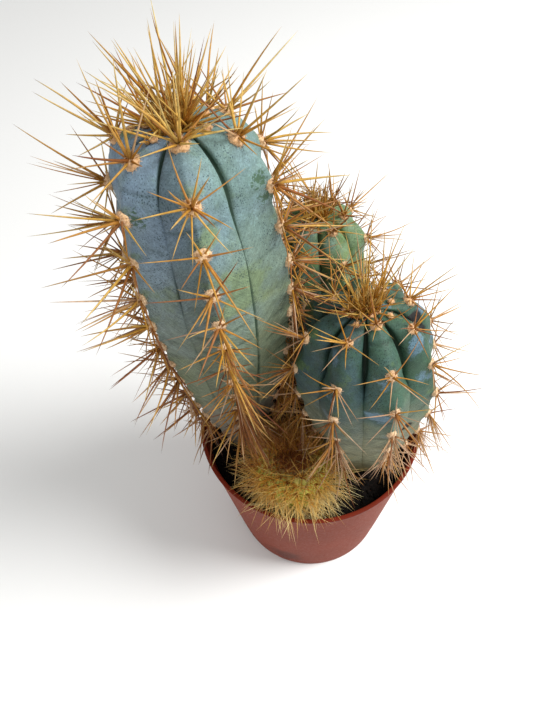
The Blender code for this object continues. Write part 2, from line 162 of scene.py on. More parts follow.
@dataclass
class Growth:
    """How a plant's areoles and spines grow, in millimetres and degrees."""
    radials: tuple            # how many lie round an areole, least and most
    radial_length: tuple
    radial_tilt: tuple
    centrals: tuple
    central_length: tuple
    central_tilt: tuple
    tuft: int                 # long spines that fan out of the growing tip
    tuft_length: tuple
    tuft_tilt: float          # how far the outermost of them lean
    tangle: int               # short crossing spines between them
    tuft_side: float          # how much further down the shaded side they start, 0 to 1
    girth: float              # radius of a spine at its root
    tone: tuple               # colour at the tip and at the foot: 0 golden, 1 dark red brown
    pale: tuple               # share of bleached old spines at the tip and at the foot
    hang: float               # how strongly the lower spines point down, 0 to 1
    pad: float                # radius of an areole's felt


MAIN_GROWTH = Growth(
    radials=(7, 10), radial_length=(9.0, 16.0), radial_tilt=(58.0, 80.0),
    centrals=(2, 4), central_length=(13.0, 23.0), central_tilt=(8.0, 45.0),
    tuft=60, tuft_length=(12.0, 22.0), tuft_tilt=88.0, tangle=210, tuft_side=0.65,
    girth=0.34, tone=(0.08, 0.5), pale=(0.0, 0.3), hang=0.3, pad=2.1,
)
RIGHT_GROWTH = Growth(
    radials=(6, 8), radial_length=(9.0, 14.0), radial_tilt=(50.0, 78.0),
    centrals=(1, 3), central_length=(12.0, 19.0), central_tilt=(10.0, 45.0),
    tuft=54, tuft_length=(10.0, 20.0), tuft_tilt=72.0, tangle=120, tuft_side=0.0,
    girth=0.27, tone=(0.15, 0.55), pale=(0.05, 0.8), hang=1.0, pad=1.75,
)
BACK_GROWTH = Growth(
    radials=(7, 9), radial_length=(8.0, 13.0), radial_tilt=(58.0, 80.0),
    centrals=(2, 4), central_length=(12.0, 19.0), central_tilt=(8.0, 45.0),
    tuft=60, tuft_length=(8.0, 15.0), tuft_tilt=88.0, tangle=120, tuft_side=0.0,
    girth=0.27, tone=(0.25, 0.6), pale=(0.1, 0.3), hang=0.35, pad=1.6,
)


@dataclass
class SkinColours:
    """Colours of a torch stem's skin as sRGB hex codes, and where they lie."""
    bloom: str                # thick greyish bloom
    blue_bloom_and_shade: str                 # bluish bloom in clouds, and bluish painted shade on the side turned away from the light
    flesh: str                # green flesh under it
    powder: str               # fresh blue bloom just under an areole
    bare: str                 # bare skin just over an areole
    # painted shade at the bottom of the grooves and in the creases across the ribs
    groove: str
    speck: str
    worn: str                 # old skin low down
    cork: str
    soft: float               # how soft the edges of the powdered and bare patches are
    patchy: float             # how strongly the patches by the areoles show, 0 to 1
    worn_from: float          # share of the way up under which the skin is old
    cork_to: float            # share of the way up that the corky foot reaches
    line: tuple               # groove's dark line, painted shade at its bottom: where it starts low down and near the tip, its softness


MAIN_COLOURS = SkinColours(
    bloom="6C8682", blue_bloom_and_shade="768C9E", flesh="5E7862", powder="7F9AA0", bare="6E8458", groove="223B2A",
    speck="2C4046", worn="737C60", cork="80786C", patchy=0.75, soft=0.4, worn_from=0.72, cork_to=0.27,
    line=(0.958, 0.945, 0.03))
RIGHT_COLOURS = SkinColours(
    bloom="365142", blue_bloom_and_shade="3A5254", flesh="34503A", powder="607C90", bare="4A6238", groove="10200F",
    speck="1C2C26", worn="8A8B72", cork="9A9068", patchy=0.7, soft=0.18, worn_from=0.62, cork_to=0.14,
    line=(0.95, 0.88, 0.07))
BACK_COLOURS = SkinColours(
    bloom="6D8467", blue_bloom_and_shade="58746A", flesh="5A733E", powder="7A9488", bare="66793C", groove="22391A",
    speck="2D3F26", worn="A09E66", cork="66604A", patchy=0.6, soft=0.3, worn_from=0.5, cork_to=0.06,
    line=(0.97, 0.92, 0.05))
DARK_PATCH = (-15.0, -32.0, 12.0)   # middle of the dark patch low on the pot, millimetres


def hex_colour(code):
    """sRGB hex code to linear RGBA."""
    values = [int(code[i:i + 2], 16) / 255.0 for i in (0, 2, 4)]
    linear = [v / 12.92 if v <= 0.04045 else ((v + 0.055) / 1.055) ** 2.4 for v in values]
    return (*linear, 1.0)


def ease(x):
    """0 to 1, level at both ends."""
    x = np.clip(x, 0.0, 1.0)
    return x * x * (3.0 - 2.0 * x)


def unit(way):
    """A direction, or each of many, at length 1."""
    return way / np.linalg.norm(way, axis=-1, keepdims=True)


def between(pair, share):
    """The value that lies at a share of the way from the first of a pair to the second."""
    return pair[0] + (pair[1] - pair[0]) * share


def swing(angle, middle):
    """How far an angle lies round from a middle one, -180 to 180 degrees."""
    return (angle - middle + 180.0) % 360.0 - 180.0


def groove_share(plant, angle):
    """0 on a rib's crest, 1 in the middle of a groove."""
    angles = []
    depths = []
    for here, after in zip(plant.ribs, (*plant.ribs[1:], plant.ribs[0] + 360.0)):
        angles += [here, (here + after) / 2.0]
        depths += [0.0, 1.0]
    return np.interp(angle, angles, depths, period=360.0)


def core(plant, up):
    """Middle of a body, its height and its radius over the crests, in millimetres."""
    dome_foot = plant.top - plant.dome
    body = np.clip(up / (1.0 - DOME_SHARE), 0.0, 1.0)
    turn = np.clip((up - 1.0 + DOME_SHARE) / DOME_SHARE, 0.0, 1.0) * math.pi / 2.0
    grown = 1.0 - (1.0 - np.clip(body / plant.widest, 0.0, 1.0)) ** plant.swell
    drawn_in = 1.0 + (plant.shoulder - 1.0) * ease((body - plant.widest) / (1.0 - plant.widest))
    radius = between((plant.foot_radius, plant.radius), grown) * drawn_in * np.cos(turn)
    height = SOIL_LEVEL + (dome_foot - SOIL_LEVEL) * body + plant.dome * np.sin(turn)
    height = height - plant.dip * (1.0 - np.cos(turn)) ** 2
    risen = np.clip((height - SOIL_LEVEL) / (plant.top - SOIL_LEVEL), 0.0, 1.0)
    x = plant.foot[0] + plant.lean[0] * risen + plant.bow * np.sin(math.pi * risen)
    y = plant.foot[1] + plant.lean[1] * risen
    return x, y, height, radius


def groove_depth(plant, angle, up):
    """How deep the plain form lies under its crests, as a share of the radius."""
    high = ease(up)
    shape = groove_share(plant, angle) ** between(plant.crest, high)
    return between(plant.groove, high) * ease(up / ROUND_FOOT) * shape


def skin(plant, angle, up):
    """Point of a plant's skin, in metres. up is 0 at the soil and 1 at the growing tip."""
    angle, up = np.broadcast_arrays(np.asarray(angle, float), np.asarray(up, float))
    x, y, height, radius = core(plant, up)
    radius = radius * (1.0 - groove_depth(plant, angle, up))
    around = np.radians(angle)
    return np.stack([x + radius * np.cos(around), y + radius * np.sin(around), height], -1) * MM


def rib_line(plant, crest):
    """A rib's crest from the growing tip down: its ups, and the distance run at each, in millimetres."""
    ups = np.linspace(1.0, 0.0, LINE_STEPS)
    steps = np.linalg.norm(np.diff(skin(plant, crest, ups), axis=0), axis=1) / MM
    return ups, np.concatenate([[0.0], np.cumsum(steps)])


def areole_runs(plant, index):
    """Distances of a rib's areoles from the growing tip, closer together low down."""
    near, far = plant.areole_step
    steps = [max(far, near - CLOSER * k) for k in range(plant.areoles - 1)]
    return plant.first_areoles[index] + np.concatenate([[0.0], np.cumsum(steps)])


def outward_upward(plant, angle, up):
    """Unit directions out of the skin and up along it."""
    over, under = min(up + PROBE_UP, 1.0), max(up - PROBE_UP, 0.0)
    upward = skin(plant, angle, over) - skin(plant, angle, under)
    across = skin(plant, angle + PROBE_TURN, up) - skin(plant, angle - PROBE_TURN, up)
    return unit(np.cross(across, upward)), unit(upward)


def tilted(outward, upward, tilt, turn):
    """Unit direction tilted from outward by tilt, towards upward turned by turn."""
    sideways = np.cross(outward, upward)
    lying = math.cos(turn) * upward + math.sin(turn) * sideways
    return math.cos(tilt) * outward + math.sin(tilt) * lying


# Helpers that every piece uses

def fill(tree, node, sockets):
    """Fills or links a node's inputs, given by name or in order. A node stands for its first output, and
    the text of a hex code for its colour."""
    for key, value in sockets.items() if isinstance(sockets, dict) else enumerate(sockets):
        socket = node.inputs[key]
        if isinstance(value, bpy.types.Node):
            value = value.outputs[0]
        if isinstance(value, bpy.types.NodeSocket):
            tree.links.new(value, socket)
        elif isinstance(value, str) and socket.type == "RGBA":
            socket.default_value = hex_colour(value)
        else:
            socket.default_value = value


def add(tree, kind, sockets=(), stops=(), **settings):
    """Adds a node, sets its properties, fills its inputs and sets a ramp's colour stops."""
    node = tree.nodes.new(kind)
    for name, value in settings.items():
        setattr(node, name, value)
    fill(tree, node, sockets)
    for i, (place, colour) in enumerate(stops):
        if i >= len(node.color_ramp.elements):
            node.color_ramp.elements.new(place)
        node.color_ramp.elements[i].position = place
        node.color_ramp.elements[i].color = hex_colour(colour)
    return node


def new_tree(name, **inputs):
    """A geometry tree and its named inputs. Each input gives its socket type and default."""
    tree = bpy.data.node_groups.new(name, "GeometryNodeTree")
    tree.interface.new_socket("Geometry", in_out="INPUT", socket_type="NodeSocketGeometry")
    tree.interface.new_socket("Geometry", in_out="OUTPUT", socket_type="NodeSocketGeometry")
    for key, (kind, default) in inputs.items():
        socket = tree.interface.new_socket(key, in_out="INPUT", socket_type="NodeSocket" + kind)
        if default is not None:
            socket.default_value = default
    return tree, tree.nodes.new("NodeGroupInput").outputs


def end_tree(tree, shape, material, spent=()):
    """Drops a tree's spent attributes, realises what it made, shades it smooth and gives it its material."""
    for name in spent:
        shape = add(tree, "GeometryNodeRemoveAttribute", {"Geometry": shape, "Name": name})
    whole = add(tree, "GeometryNodeRealizeInstances", (shape,))
    smooth = add(tree, "GeometryNodeSetShadeSmooth", (whole,))
    dressed = add(tree, "GeometryNodeSetMaterial", {"Geometry": smooth, "Material": material})
    add(tree, "NodeGroupOutput", {"Geometry": dressed})


def run_tree(name, mesh, tree, **values):
    """Runs a geometry tree on a mesh and keeps the result as a plain mesh at the origin."""
    rough = bpy.data.objects.new(name + "_rough", mesh)
    bpy.context.scene.collection.objects.link(rough)
    modifier = rough.modifiers.new("growth", "NODES")
    modifier.node_group = tree
    for item in tree.interface.items_tree:
        if item.in_out == "INPUT" and item.name in values:
            modifier[item.identifier] = values[item.name]
    bpy.context.view_layer.update()
    graph = bpy.context.evaluated_depsgraph_get()
    made = bpy.data.meshes.new_from_object(
        rough.evaluated_get(graph), preserve_all_data_layers=True, depsgraph=graph)
    bpy.data.objects.remove(rough)
    if not len(made.polygons):
        raise RuntimeError(name + " came out empty")
    return new_piece(name, made)


def new_piece(name, mesh):
    """Links a finished mesh as a piece that rides on the part's one body."""
    mesh.name = name
    piece = bpy.data.objects.new(name, mesh)
    bpy.context.scene.collection.objects.link(piece)
    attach(piece, BODY)
    return piece


def set_attribute(mesh, name, values):
    """Stores a number or a direction for each point of a mesh."""
    values = np.asarray(values, np.float32)
    kind, field = ("FLOAT_VECTOR", "vector") if values.ndim == 2 else ("FLOAT", "value")
    mesh.attributes.new(name, kind, "POINT").data.foreach_set(field, values.ravel())


def points_mesh(name, places, **attributes):
    """A mesh of loose points that carry attributes."""
    mesh = bpy.data.meshes.new(name)
    mesh.from_pydata([tuple(place) for place in places], [], [])
    for key, values in attributes.items():
        set_attribute(mesh, key, values)
    return mesh


def ring_faces(rings, count, first=0):
    """Faces between rings of points that lie one over the other."""
    faces = []
    for ring in range(rings - 1):
        low, high = first + ring * count, first + (ring + 1) * count
        for k in range(count):
            after = (k + 1) % count
            faces.append((low + k, low + after, high + after, high + k))
    return faces


def per_mm(size):
    """Scale of a texture on Object coordinates whose features are about that many millimetres apart."""
    return 1.0 / (size * MM)


def new_material(name):
    """A material with a Principled shader, and its tree."""
    made = bpy.data.materials.new(name)
    made.use_nodes = True
    return made, made.node_tree, made.node_tree.nodes["Principled BSDF"]


# Materials. Noise is given by its size in millimetres, its detail and its roughness.

def waxy_skin_material(name, colours, cover):
    """Epidermis of a torch cactus: grown, under a powdery wax bloom that scatters light, so it looks
    pale, bluish and almost matt. Where the bloom is rubbed off, the green flesh shows."""
    made, tree, shader = new_material(name)
    coords = add(tree, "ShaderNodeTexCoord").outputs["Object"]
    groove_at, up_at, crease_at, scar_at, rot_at, patch_at, blue_bloom_and_shade_at, side_shading_at = (
        add(tree, "ShaderNodeAttribute", attribute_name=key).outputs["Fac"]
        for key in ("groove", "up", "crease", "scar", "rot", "patch", "blue_bloom_and_shade", "side_shading"))
    brush_at = add(tree, "ShaderNodeAttribute", attribute_name="brush").outputs["Vector"]
    # Clouds of bloom, drifts where it is rubbed thin, ragged edges of patches, which patches are kept,
    # mottling, powder grains drawn coarse enough to show, crowds of specks, and ragged edges of scars
    clouds, drifts, ragged, kept, mottle, powder, crowds, blots = (
        add(tree, "ShaderNodeTexNoise", {
            "Vector": coords, "Scale": per_mm(size), "Detail": detail, "Roughness": rough,
            "Distortion": twist})
        for size, detail, rough, twist in (
            (14.0, 4.0, 0.6, 0.0), (7.0, 7.0, 0.68, 0.5), (4.5, 7.0, 0.72, 0.0), (11.0, 1.0, 0.5, 0.0),
            (2.5, 5.0, 0.78, 0.0), (0.4, 2.0, 0.5, 0.0), (6.0, 3.0, 0.5, 0.0), (0.9, 3.0, 0.6, 0.0)))
    # The bloom goes over from bluish to greyish in clouds, with a bluish painted shade on the side turned
    # away from the light, and is rubbed off in drifts
    blue_bloom_and_shade = add(tree, "ShaderNodeMath", (clouds, 1.1, blue_bloom_and_shade_at), operation="MULTIPLY_ADD")
    blue_bloom_and_shade = add(tree, "ShaderNodeMapRange", (blue_bloom_and_shade, 0.62, 1.35))
    rubbed = add(tree, "ShaderNodeMapRange", (drifts, 0.66 - 0.3 * cover, 0.44 - 0.3 * cover, 0.0, 0.85))
    # Thick blue bloom lies just under an areole, and bare green skin just over the next
    patch = add(tree, "ShaderNodeMath", (ragged, 3.0, patch_at), operation="MULTIPLY_ADD")
    kept = add(tree, "ShaderNodeMath", (kept, 3.4, -1.7), operation="MULTIPLY_ADD")
    patch = add(tree, "ShaderNodeMath", (patch, kept), operation="ADD")
    soft, most = colours.soft, colours.patchy
    powdered = add(tree, "ShaderNodeMapRange", (patch, 2.45 - soft, 2.45 + soft, 0.0, most))
    bared = add(tree, "ShaderNodeMapRange", (patch, 0.55 + soft, 0.55 - soft, 0.0, most))
    # Low down the skin is older, greyer and greener
    worn = add(tree, "ShaderNodeMath", (clouds, 0.35, up_at), operation="MULTIPLY_ADD")
    old = colours.worn_from
    worn = add(tree, "ShaderNodeMapRange", (worn, old + 0.25, old - 0.1, 0.0, 0.9))
    body = colours.bloom
    for share, colour in ((blue_bloom_and_shade, colours.blue_bloom_and_shade), (rubbed, colours.flesh), (powdered, colours.powder),
                          (bared, colours.bare), (worn, colours.worn)):
        body = add(tree, "ShaderNodeMixRGB", (share, body, colour))
    # Brushed veins run down and outwards from a rib's crest, 0.4 mm apart and 5 mm long
    stretched = add(tree, "ShaderNodeVectorMath", (brush_at, (2.5, 0.2, 0.2)), operation="MULTIPLY")
    veins = add(tree, "ShaderNodeTexNoise", {
        "Vector": stretched, "Scale": 1.0, "Detail": 3.0, "Roughness": 0.65})
    vein_depth = add(tree, "ShaderNodeMapRange", (up_at, 0.85, 0.45, 0.25, 1.0))
    veined = add(tree, "ShaderNodeMapRange", (veins, 0.32, 0.68, -0.4, 0.4))
    veined = add(tree, "ShaderNodeMath", (veined, vein_depth, 1.0), operation="MULTIPLY_ADD")
    mottled = add(tree, "ShaderNodeMapRange", (mottle, 0.3, 0.7, 0.74, 1.24))
    grains = add(tree, "ShaderNodeMapRange", (powder, 0.3, 0.7, 0.8, 1.18))
    # Mottling, powder grains, veins and the painted side shading scale the colour
    light = mottled
    for share in (grains, veined, side_shading_at):
        light = add(tree, "ShaderNodeMath", (light, share), operation="MULTIPLY")
    body = add(tree, "ShaderNodeVectorMath", {0: body, 3: light}, operation="SCALE")
    # Dark specks in crowds, coarse ones 1.1 mm apart and fine ones 0.6 mm apart
    layers = []
    speckled = add(tree, "ShaderNodeMapRange", (up_at, 0.4, 0.7, 0.2, 0.7))
    for apart, crowd_from, least, largest in ((1.1, 0.5, 0.0, 0.24), (0.6, 0.35, 0.12, 0.3)):
        speck = add(tree, "ShaderNodeTexVoronoi", {"Vector": coords, "Scale": per_mm(apart)})
        size = add(tree, "ShaderNodeMapRange", (crowds, crowd_from, 0.65, least, largest))
        speck = add(tree, "ShaderNodeMath", (speck, size), operation="LESS_THAN")
        speck = add(tree, "ShaderNodeMath", (speck, speckled), operation="MULTIPLY")
        layers.append((speck, colours.speck))
    # Greener, darker flanks towards each groove near the tip, partly flesh under thin bloom and partly
    # painted shade, and the fine dark line at its bottom, painted shade
    groove_flesh_and_shade = add(tree, "ShaderNodeMapRange", (groove_at, 0.88, 1.0, 0.0, 0.6))
    upper = add(tree, "ShaderNodeMapRange", (up_at, 0.65, 0.85, 0.2, 1.0))
    groove_flesh_and_shade = add(tree, "ShaderNodeMath", (groove_flesh_and_shade, upper), operation="MULTIPLY")
    line_low, line_high, line_soft = colours.line
    line_from = add(tree, "ShaderNodeMapRange", (up_at, 0.7, 0.98, line_low, line_high))
    line_to = add(tree, "ShaderNodeMath", (line_from, line_soft), operation="ADD")
    uneven = add(tree, "ShaderNodeMath", (ragged, 0.08, groove_at), operation="MULTIPLY_ADD")
    uneven = add(tree, "ShaderNodeMath", (uneven, 0.04), operation="SUBTRACT")
    line = add(tree, "ShaderNodeMapRange", (uneven, line_from, line_to, 0.0, 0.92))
    fade = add(tree, "ShaderNodeMapRange", (up_at, 0.12, 0.45, 0.5, 1.0))
    line = add(tree, "ShaderNodeMath", (line, fade), operation="MULTIPLY")
    # Painted shade in the creases across the ribs, and corky bark on the foot, with a ragged edge
    crease = add(tree, "ShaderNodeMath", (crease_at, 0.5), operation="MULTIPLY")
    corky = add(tree, "ShaderNodeMath", (drifts, 0.3, up_at), operation="MULTIPLY_ADD")
    bark = colours.cork_to
    corky = add(tree, "ShaderNodeMapRange", (corky, bark + 0.2, bark + 0.08, 0.0, 0.9))
    cork = hex_colour(colours.cork)[:3]
    cork = add(tree, "ShaderNodeVectorMath", {0: cork, 3: mottled}, operation="SCALE")
    # Healed scars are ragged dark green blotches, and dead spots have dried black
    scar = add(tree, "ShaderNodeMath", (blots, 3.2, scar_at), operation="MULTIPLY_ADD")
    scar = add(tree, "ShaderNodeMapRange", (scar, 2.05, 2.3, 0.0, 0.8))
    near = add(tree, "ShaderNodeMapRange", (scar_at, 0.0, 0.25))
    scar = add(tree, "ShaderNodeMath", (scar, near), operation="MULTIPLY")
    rot = add(tree, "ShaderNodeMath", (ragged, 0.7, rot_at), operation="MULTIPLY_ADD")
    rot = add(tree, "ShaderNodeMapRange", (rot, 0.55, 0.68, 0.0, 0.97))
    layers += [(groove_flesh_and_shade, colours.flesh), (line, colours.groove), (crease, colours.groove), (corky, cork),
               (scar, "3A5638"), (rot, "120F10")]
    for share, colour in layers:
        body = add(tree, "ShaderNodeMixRGB", (share, body, colour))
    gloss = add(tree, "ShaderNodeMapRange", (rubbed, 0.0, 0.85, 0.62, 0.46))
    # Veins and powder stand a little out of the skin
    relief = add(tree, "ShaderNodeMath", (veins, 1.2, powder), operation="MULTIPLY_ADD")
    bump = add(tree, "ShaderNodeBump", {"Height": relief, "Strength": 0.4, "Distance": 0.12 * MM})
    fill(tree, shader, {"Base Color": body, "Roughness": gloss, "Specular IOR Level": 0.3, "Normal": bump})
    return made


def spine_material(name, bleached, painted_light_gain=1.0):
    """Horn-like dead spine: hard, smooth and almost matt, golden when young, then brown, then bleached."""
    made, tree, shader = new_material(name)
    along, tone, pale, tip = (
        add(tree, "ShaderNodeAttribute", attribute_name=key).outputs["Fac"]
        for key in ("along", "tone", "pale", "tip"))
    shaft, point = (add(tree, "ShaderNodeValToRGB", (tone,), stops) for stops in (
        ((0.0, "C9A552"), (0.25, "B37D26"), (0.5, "965E27"), (0.75, "703C1F"), (1.0, "451E13")),
        ((0.0, "CDBB83"), (0.3, "B39355"), (0.6, "6B3A20"), (1.0, "341510"))))
    # Young spines pale towards the point and old ones darken
    reach = add(tree, "ShaderNodeMapRange", (along, 0.35, 0.9))
    share = add(tree, "ShaderNodeMath", (reach, tip), operation="MULTIPLY")
    # The root is orange brown where it comes out of the felt
    root = add(tree, "ShaderNodeMapRange", (along, 0.0, 0.2, 0.55, 0.0))
    body = shaft
    for share, colour in ((share, point), (pale, bleached), (root, "9A6428")):
        body = add(tree, "ShaderNodeMixRGB", (share, body, colour))
    coords = add(tree, "ShaderNodeTexCoord").outputs["Object"]
    # A painted light gain scales the colour; the ball's bristles get more, as light in the shade they stand
    # in
    mottle = add(tree, "ShaderNodeTexNoise", {"Vector": coords, "Scale": per_mm(1.2), "Detail": 2.0})
    light = add(tree, "ShaderNodeMapRange", (mottle, 0.3, 0.7, 0.82 * painted_light_gain, 1.18 * painted_light_gain))
    body = add(tree, "ShaderNodeVectorMath", {0: body, 3: light}, operation="SCALE")
    fill(tree, shader, {"Base Color": body, "Roughness": 0.45, "IOR": 1.54, "Specular IOR Level": 0.12})
    return made


def felt_material(name, light, dark, young):
    """Areole felt: short matted plant hair, soft and matt, with a faint sheen. It is golden when young."""
    made, tree, shader = new_material(name)
    coords = add(tree, "ShaderNodeTexCoord").outputs["Object"]
    tufts = add(tree, "ShaderNodeTexNoise", {"Vector": coords, "Scale": per_mm(0.6), "Detail": 4.0})
    felt = add(tree, "ShaderNodeValToRGB", (tufts,), ((0.32, dark), (0.62, light)))
    golden = add(tree, "ShaderNodeAttribute", attribute_name="golden").outputs["Fac"]
    golden = add(tree, "ShaderNodeMath", (golden, 0.48), operation="MULTIPLY")
    felt = add(tree, "ShaderNodeMixRGB", (golden, felt, young))
    bump = add(tree, "ShaderNodeBump", {"Height": tufts, "Strength": 0.8, "Distance": 0.25 * MM})
    fill(tree, shader, {"Base Color": felt, "Roughness": 0.95, "Sheen Weight": 0.35, "Normal": bump})
    return made


def polypropylene_material(name, wall, rim):
    """Moulded terracotta-coloured polypropylene: smooth and semi-matt, darker at its rim, under dust,
    with a dark patch low on the front left."""
    made, tree, shader = new_material(name)
    coords = add(tree, "ShaderNodeTexCoord").outputs["Object"]
    # Clouds in the plastic, dust and mould texture, and the dark patch's ragged edge
    clouds, dust, ragged = (
        add(tree, "ShaderNodeTexNoise", {
            "Vector": coords, "Scale": per_mm(size), "Detail": detail, "Roughness": rough})
        for size, detail, rough in ((22.0, 4.0, 0.5), (1.1, 5.0, 0.7), (7.0, 4.0, 0.5)))
    cloud = add(tree, "ShaderNodeMapRange", (clouds, 0.3, 0.7, 0.9, 1.1))
    height = add(tree, "ShaderNodeSeparateXYZ", (coords,)).outputs["Z"]
    edge = add(tree, "ShaderNodeMapRange", (height, 73.2 * MM, 75.4 * MM))
    body = add(tree, "ShaderNodeMixRGB", (edge, wall, rim))
    body = add(tree, "ShaderNodeVectorMath", {0: body, 3: cloud}, operation="SCALE")
    dusty = add(tree, "ShaderNodeMapRange", (dust, 0.6, 0.74, 0.0, 0.1))
    # The dark patch is low on the front left
    away = add(tree, "ShaderNodeVectorMath", (coords, [v * MM for v in DARK_PATCH]), operation="DISTANCE")
    away = add(tree, "ShaderNodeMath", (ragged, -12.0 * MM, away.outputs["Value"]), operation="MULTIPLY_ADD")
    dark_patch = add(tree, "ShaderNodeMapRange", (away, 4.0 * MM, -2.0 * MM, 0.0, 0.6))
    for share, colour in ((dusty, "A8806F"), (dark_patch, "3E211B")):
        body = add(tree, "ShaderNodeMixRGB", (share, body, colour))
    gloss = add(tree, "ShaderNodeMapRange", (dust, 0.35, 0.65, 0.42, 0.58))
    bump = add(tree, "ShaderNodeBump", {"Height": dust, "Strength": 0.25, "Distance": 0.06 * MM})
    fill(tree, shader, {
        "Base Color": body, "Roughness": gloss, "IOR": 1.49, "Specular IOR Level": 0.05, "Normal": bump})
    return made


def peat_material(name, dark, light):
    """Moist peat potting mix: crumbly, matt and almost black, with brown in its crumbs."""
    made, tree, shader = new_material(name)
    coords = add(tree, "ShaderNodeTexCoord").outputs["Object"]
    crumbs = add(tree, "ShaderNodeTexNoise", {
        "Vector": coords, "Scale": per_mm(1.4), "Detail": 5.0, "Roughness": 0.7})
    peat = add(tree, "ShaderNodeValToRGB", (crumbs,), ((0.4, dark), (0.78, light)))
    bump = add(tree, "ShaderNodeBump", {"Height": crumbs, "Strength": 0.7, "Distance": 0.5 * MM})
    fill(tree, shader, {"Base Color": peat, "Roughness": 0.92, "Specular IOR Level": 0.2, "Normal": bump})
    return made


def ball_skin_material(name, flesh, groove, crown):
    """Epidermis of the ball cactus: smooth, moist-looking yellow-green flesh, with painted shade in its
    grooves, and brown at its crown."""
    made, tree, shader = new_material(name)
    coords = add(tree, "ShaderNodeTexCoord").outputs["Object"]
    groove_at, up_at = (
        add(tree, "ShaderNodeAttribute", attribute_name=key).outputs["Fac"] for key in ("groove", "up"))
    mottle = add(tree, "ShaderNodeTexNoise", {"Vector": coords, "Scale": per_mm(3.0), "Detail": 3.0})
    light = add(tree, "ShaderNodeMapRange", (mottle, 0.3, 0.7, 0.85, 1.15))
    # Painted shade in the grooves
    deep = add(tree, "ShaderNodeMapRange", (groove_at, 0.45, 0.95, 0.0, 0.85))
    body = add(tree, "ShaderNodeMixRGB", (deep, flesh, groove))
    body = add(tree, "ShaderNodeVectorMath", {0: body, 3: light}, operation="SCALE")
    wool = add(tree, "ShaderNodeMapRange", (up_at, 0.86, 0.96))
    body = add(tree, "ShaderNodeMixRGB", (wool, body, crown))
    fill(tree, shader, {
        "Base Color": body, "Roughness": 0.5, "Subsurface Weight": 0.1,
        "Subsurface Radius": (0.6 * MM, 1.0 * MM, 0.3 * MM), "Subsurface Scale": 1.0})
    return made


# Skin of the plants

# Marks on a plant's skin: kind, rib angle, distance from the growing tip and radius, degrees and millimetres
MARKS = {
    "main_torch_stem": (
        ("scar", 231.0, 25.0, 3.4), ("scar", 333.0, 22.5, 3.2), ("scar", 336.0, 28.0, 3.0),
        ("bare", 282.0, 29.0, 6.5), ("bare", 304.0, 46.0, 12.0)),
    "right_torch_stem": (("rot", 353.0, 16.5, 4.6), ("rot", 351.5, 20.5, 3.8), ("rot", 305.0, 51.5, 4.0)),
}
BARED = 2.0            # how strongly a bare mark takes the bloom off
SCAR_RISE = 0.25       # how far a scar stands out and a dead spot sinks in, millimetres
ROT_DEPTH = 0.9
CREASE_WIDTH = 0.45    # half width of a crease across a rib, millimetres
CREASE_PLACE = (0.38, 0.55)        # where it lies from one areole to the next, as a share
CREASE_BEND = (1.2, 3.4)           # how far it bends down towards the grooves, millimetres
CREASE_STRENGTHS = (0.25, 0.6, 1.0)
UNEVEN = 0.22          # height of the skin's lumps, millimetres
TIP_FADE = 8.0         # relief fades out over this distance from the growing tip, millimetres,
FOOT_FADE = 0.12       # and over this share of the way up from the soil
LOW_DOWN = 0.3         # share of the way up over which wrinkles end and the flat faces' lines begin
TIP_EDGE = 0.1         # share of the way down from the growing tip over which lumps and clefts begin
CLEFT_EDGE = 0.12


@dataclass
class Relief:
    """How a plant's ribs stand out over the plain form, in millimetres and shares."""
    swelling: float           # how far a rib swells at each areole
    crease: float             # depth of the creases across the ribs
    cleft: float              # narrow cleft at the bottom of each groove near the growing tip
    width: float              # half of its width, as a share of half a rib
    facet: float              # low down, flat faces from crest to crest: 1 flat, more is hollow
    ribbed: tuple             # share of the way up where the faces turn into ribs, from and to
    clefted: tuple            # share of the way up where the clefts begin, from and to


RELIEFS = {
    "main_torch_stem": Relief(0.8, 0.4, 2.4, 0.05, 1.1, (0.76, 0.98), (0.64, 0.9)),
    "right_torch_stem": Relief(0.8, 0.4, 2.2, 0.08, 1.35, (0.58, 0.9), (0.5, 0.75)),
    "back_torch_stem": Relief(0.6, 0.4, 1.6, 0.07, 1.2, (0.66, 0.94), (0.56, 0.8)),
    "golden_ball_cactus": Relief(0.1, 0.05, 0.0, 1.0, 0.0, (-1.0, -0.9), (2.0, 3.0)),
}
LINE_DEPTH = 0.6       # fine line down the middle of a flat face
# Patches by each areole: place along the rib as a share of the areoles' spacing, place and half width
# across as shares of half a rib, half height in millimetres, and 1 for blue wax or -1 for bare skin
PATCHES = ((0.34, -0.28, 0.42, 3.8, 1.0), (0.8, 0.1, 0.5, 2.6, -1.0))
SHADED_SIDE = 205.0      # the side turned away from the key light, where the bloom is painted a bluish shade
CLEFT_LEAN = 0.26      # how much further down the clefts reach on that side, as a share of the way up
# Painted shade and painted light on the sides of the stems turned away from and towards the light: middle
# and half width in degrees, share of the way up from and to, and how much lighter
PAINTED_SIDES = {
    "main_torch_stem": ((261.0, 20.0, 0.1, 1.1, -0.33), (324.0, 22.0, 0.1, 0.78, 0.18)),
    "right_torch_stem": ((225.0, 30.0, 0.3, 1.1, -0.12), (312.0, 58.0, 0.4, 1.05, 0.24)),
}
SIDE_EDGE = 0.15       # how softly such a side ends above and below, as a share of the way up
VEIN_SLOPE = 1.3       # how fast the veins run down as they go out from the crest
RIB_STRIDE = 40.0      # how far apart the veins of two ribs lie in their noise
TOP_UP = 0.9985        # share of the way up of the last ring under the growing tip


def rib_of(plant, angle):
    """Index of the rib that an angle belongs to, from groove to groove."""
    return int(np.argmin([abs(swing(angle, crest)) for crest in plant.ribs]))


def lumps(place, ups, draw):
    """Gentle lumps and, low down, wrinkles of the living skin, about -2 to 2."""
    phase = [draw.uniform(0.0, 6.28) for _ in range(6)]
    x, y, z = place[..., 0], place[..., 1], place[..., 2]
    found = np.sin(x / 4.1 + phase[0]) * np.sin(z / 5.3 + phase[1])
    found = found + np.sin(y / 3.3 + phase[2]) * np.sin(z / 3.9 + phase[3])
    wrinkles = 0.4 * np.sin(z / 1.1 + 2.0 * np.sin(x / 3.0 + phase[4]))
    return found + wrinkles * (1.0 - ease(ups / LOW_DOWN))[:, None]


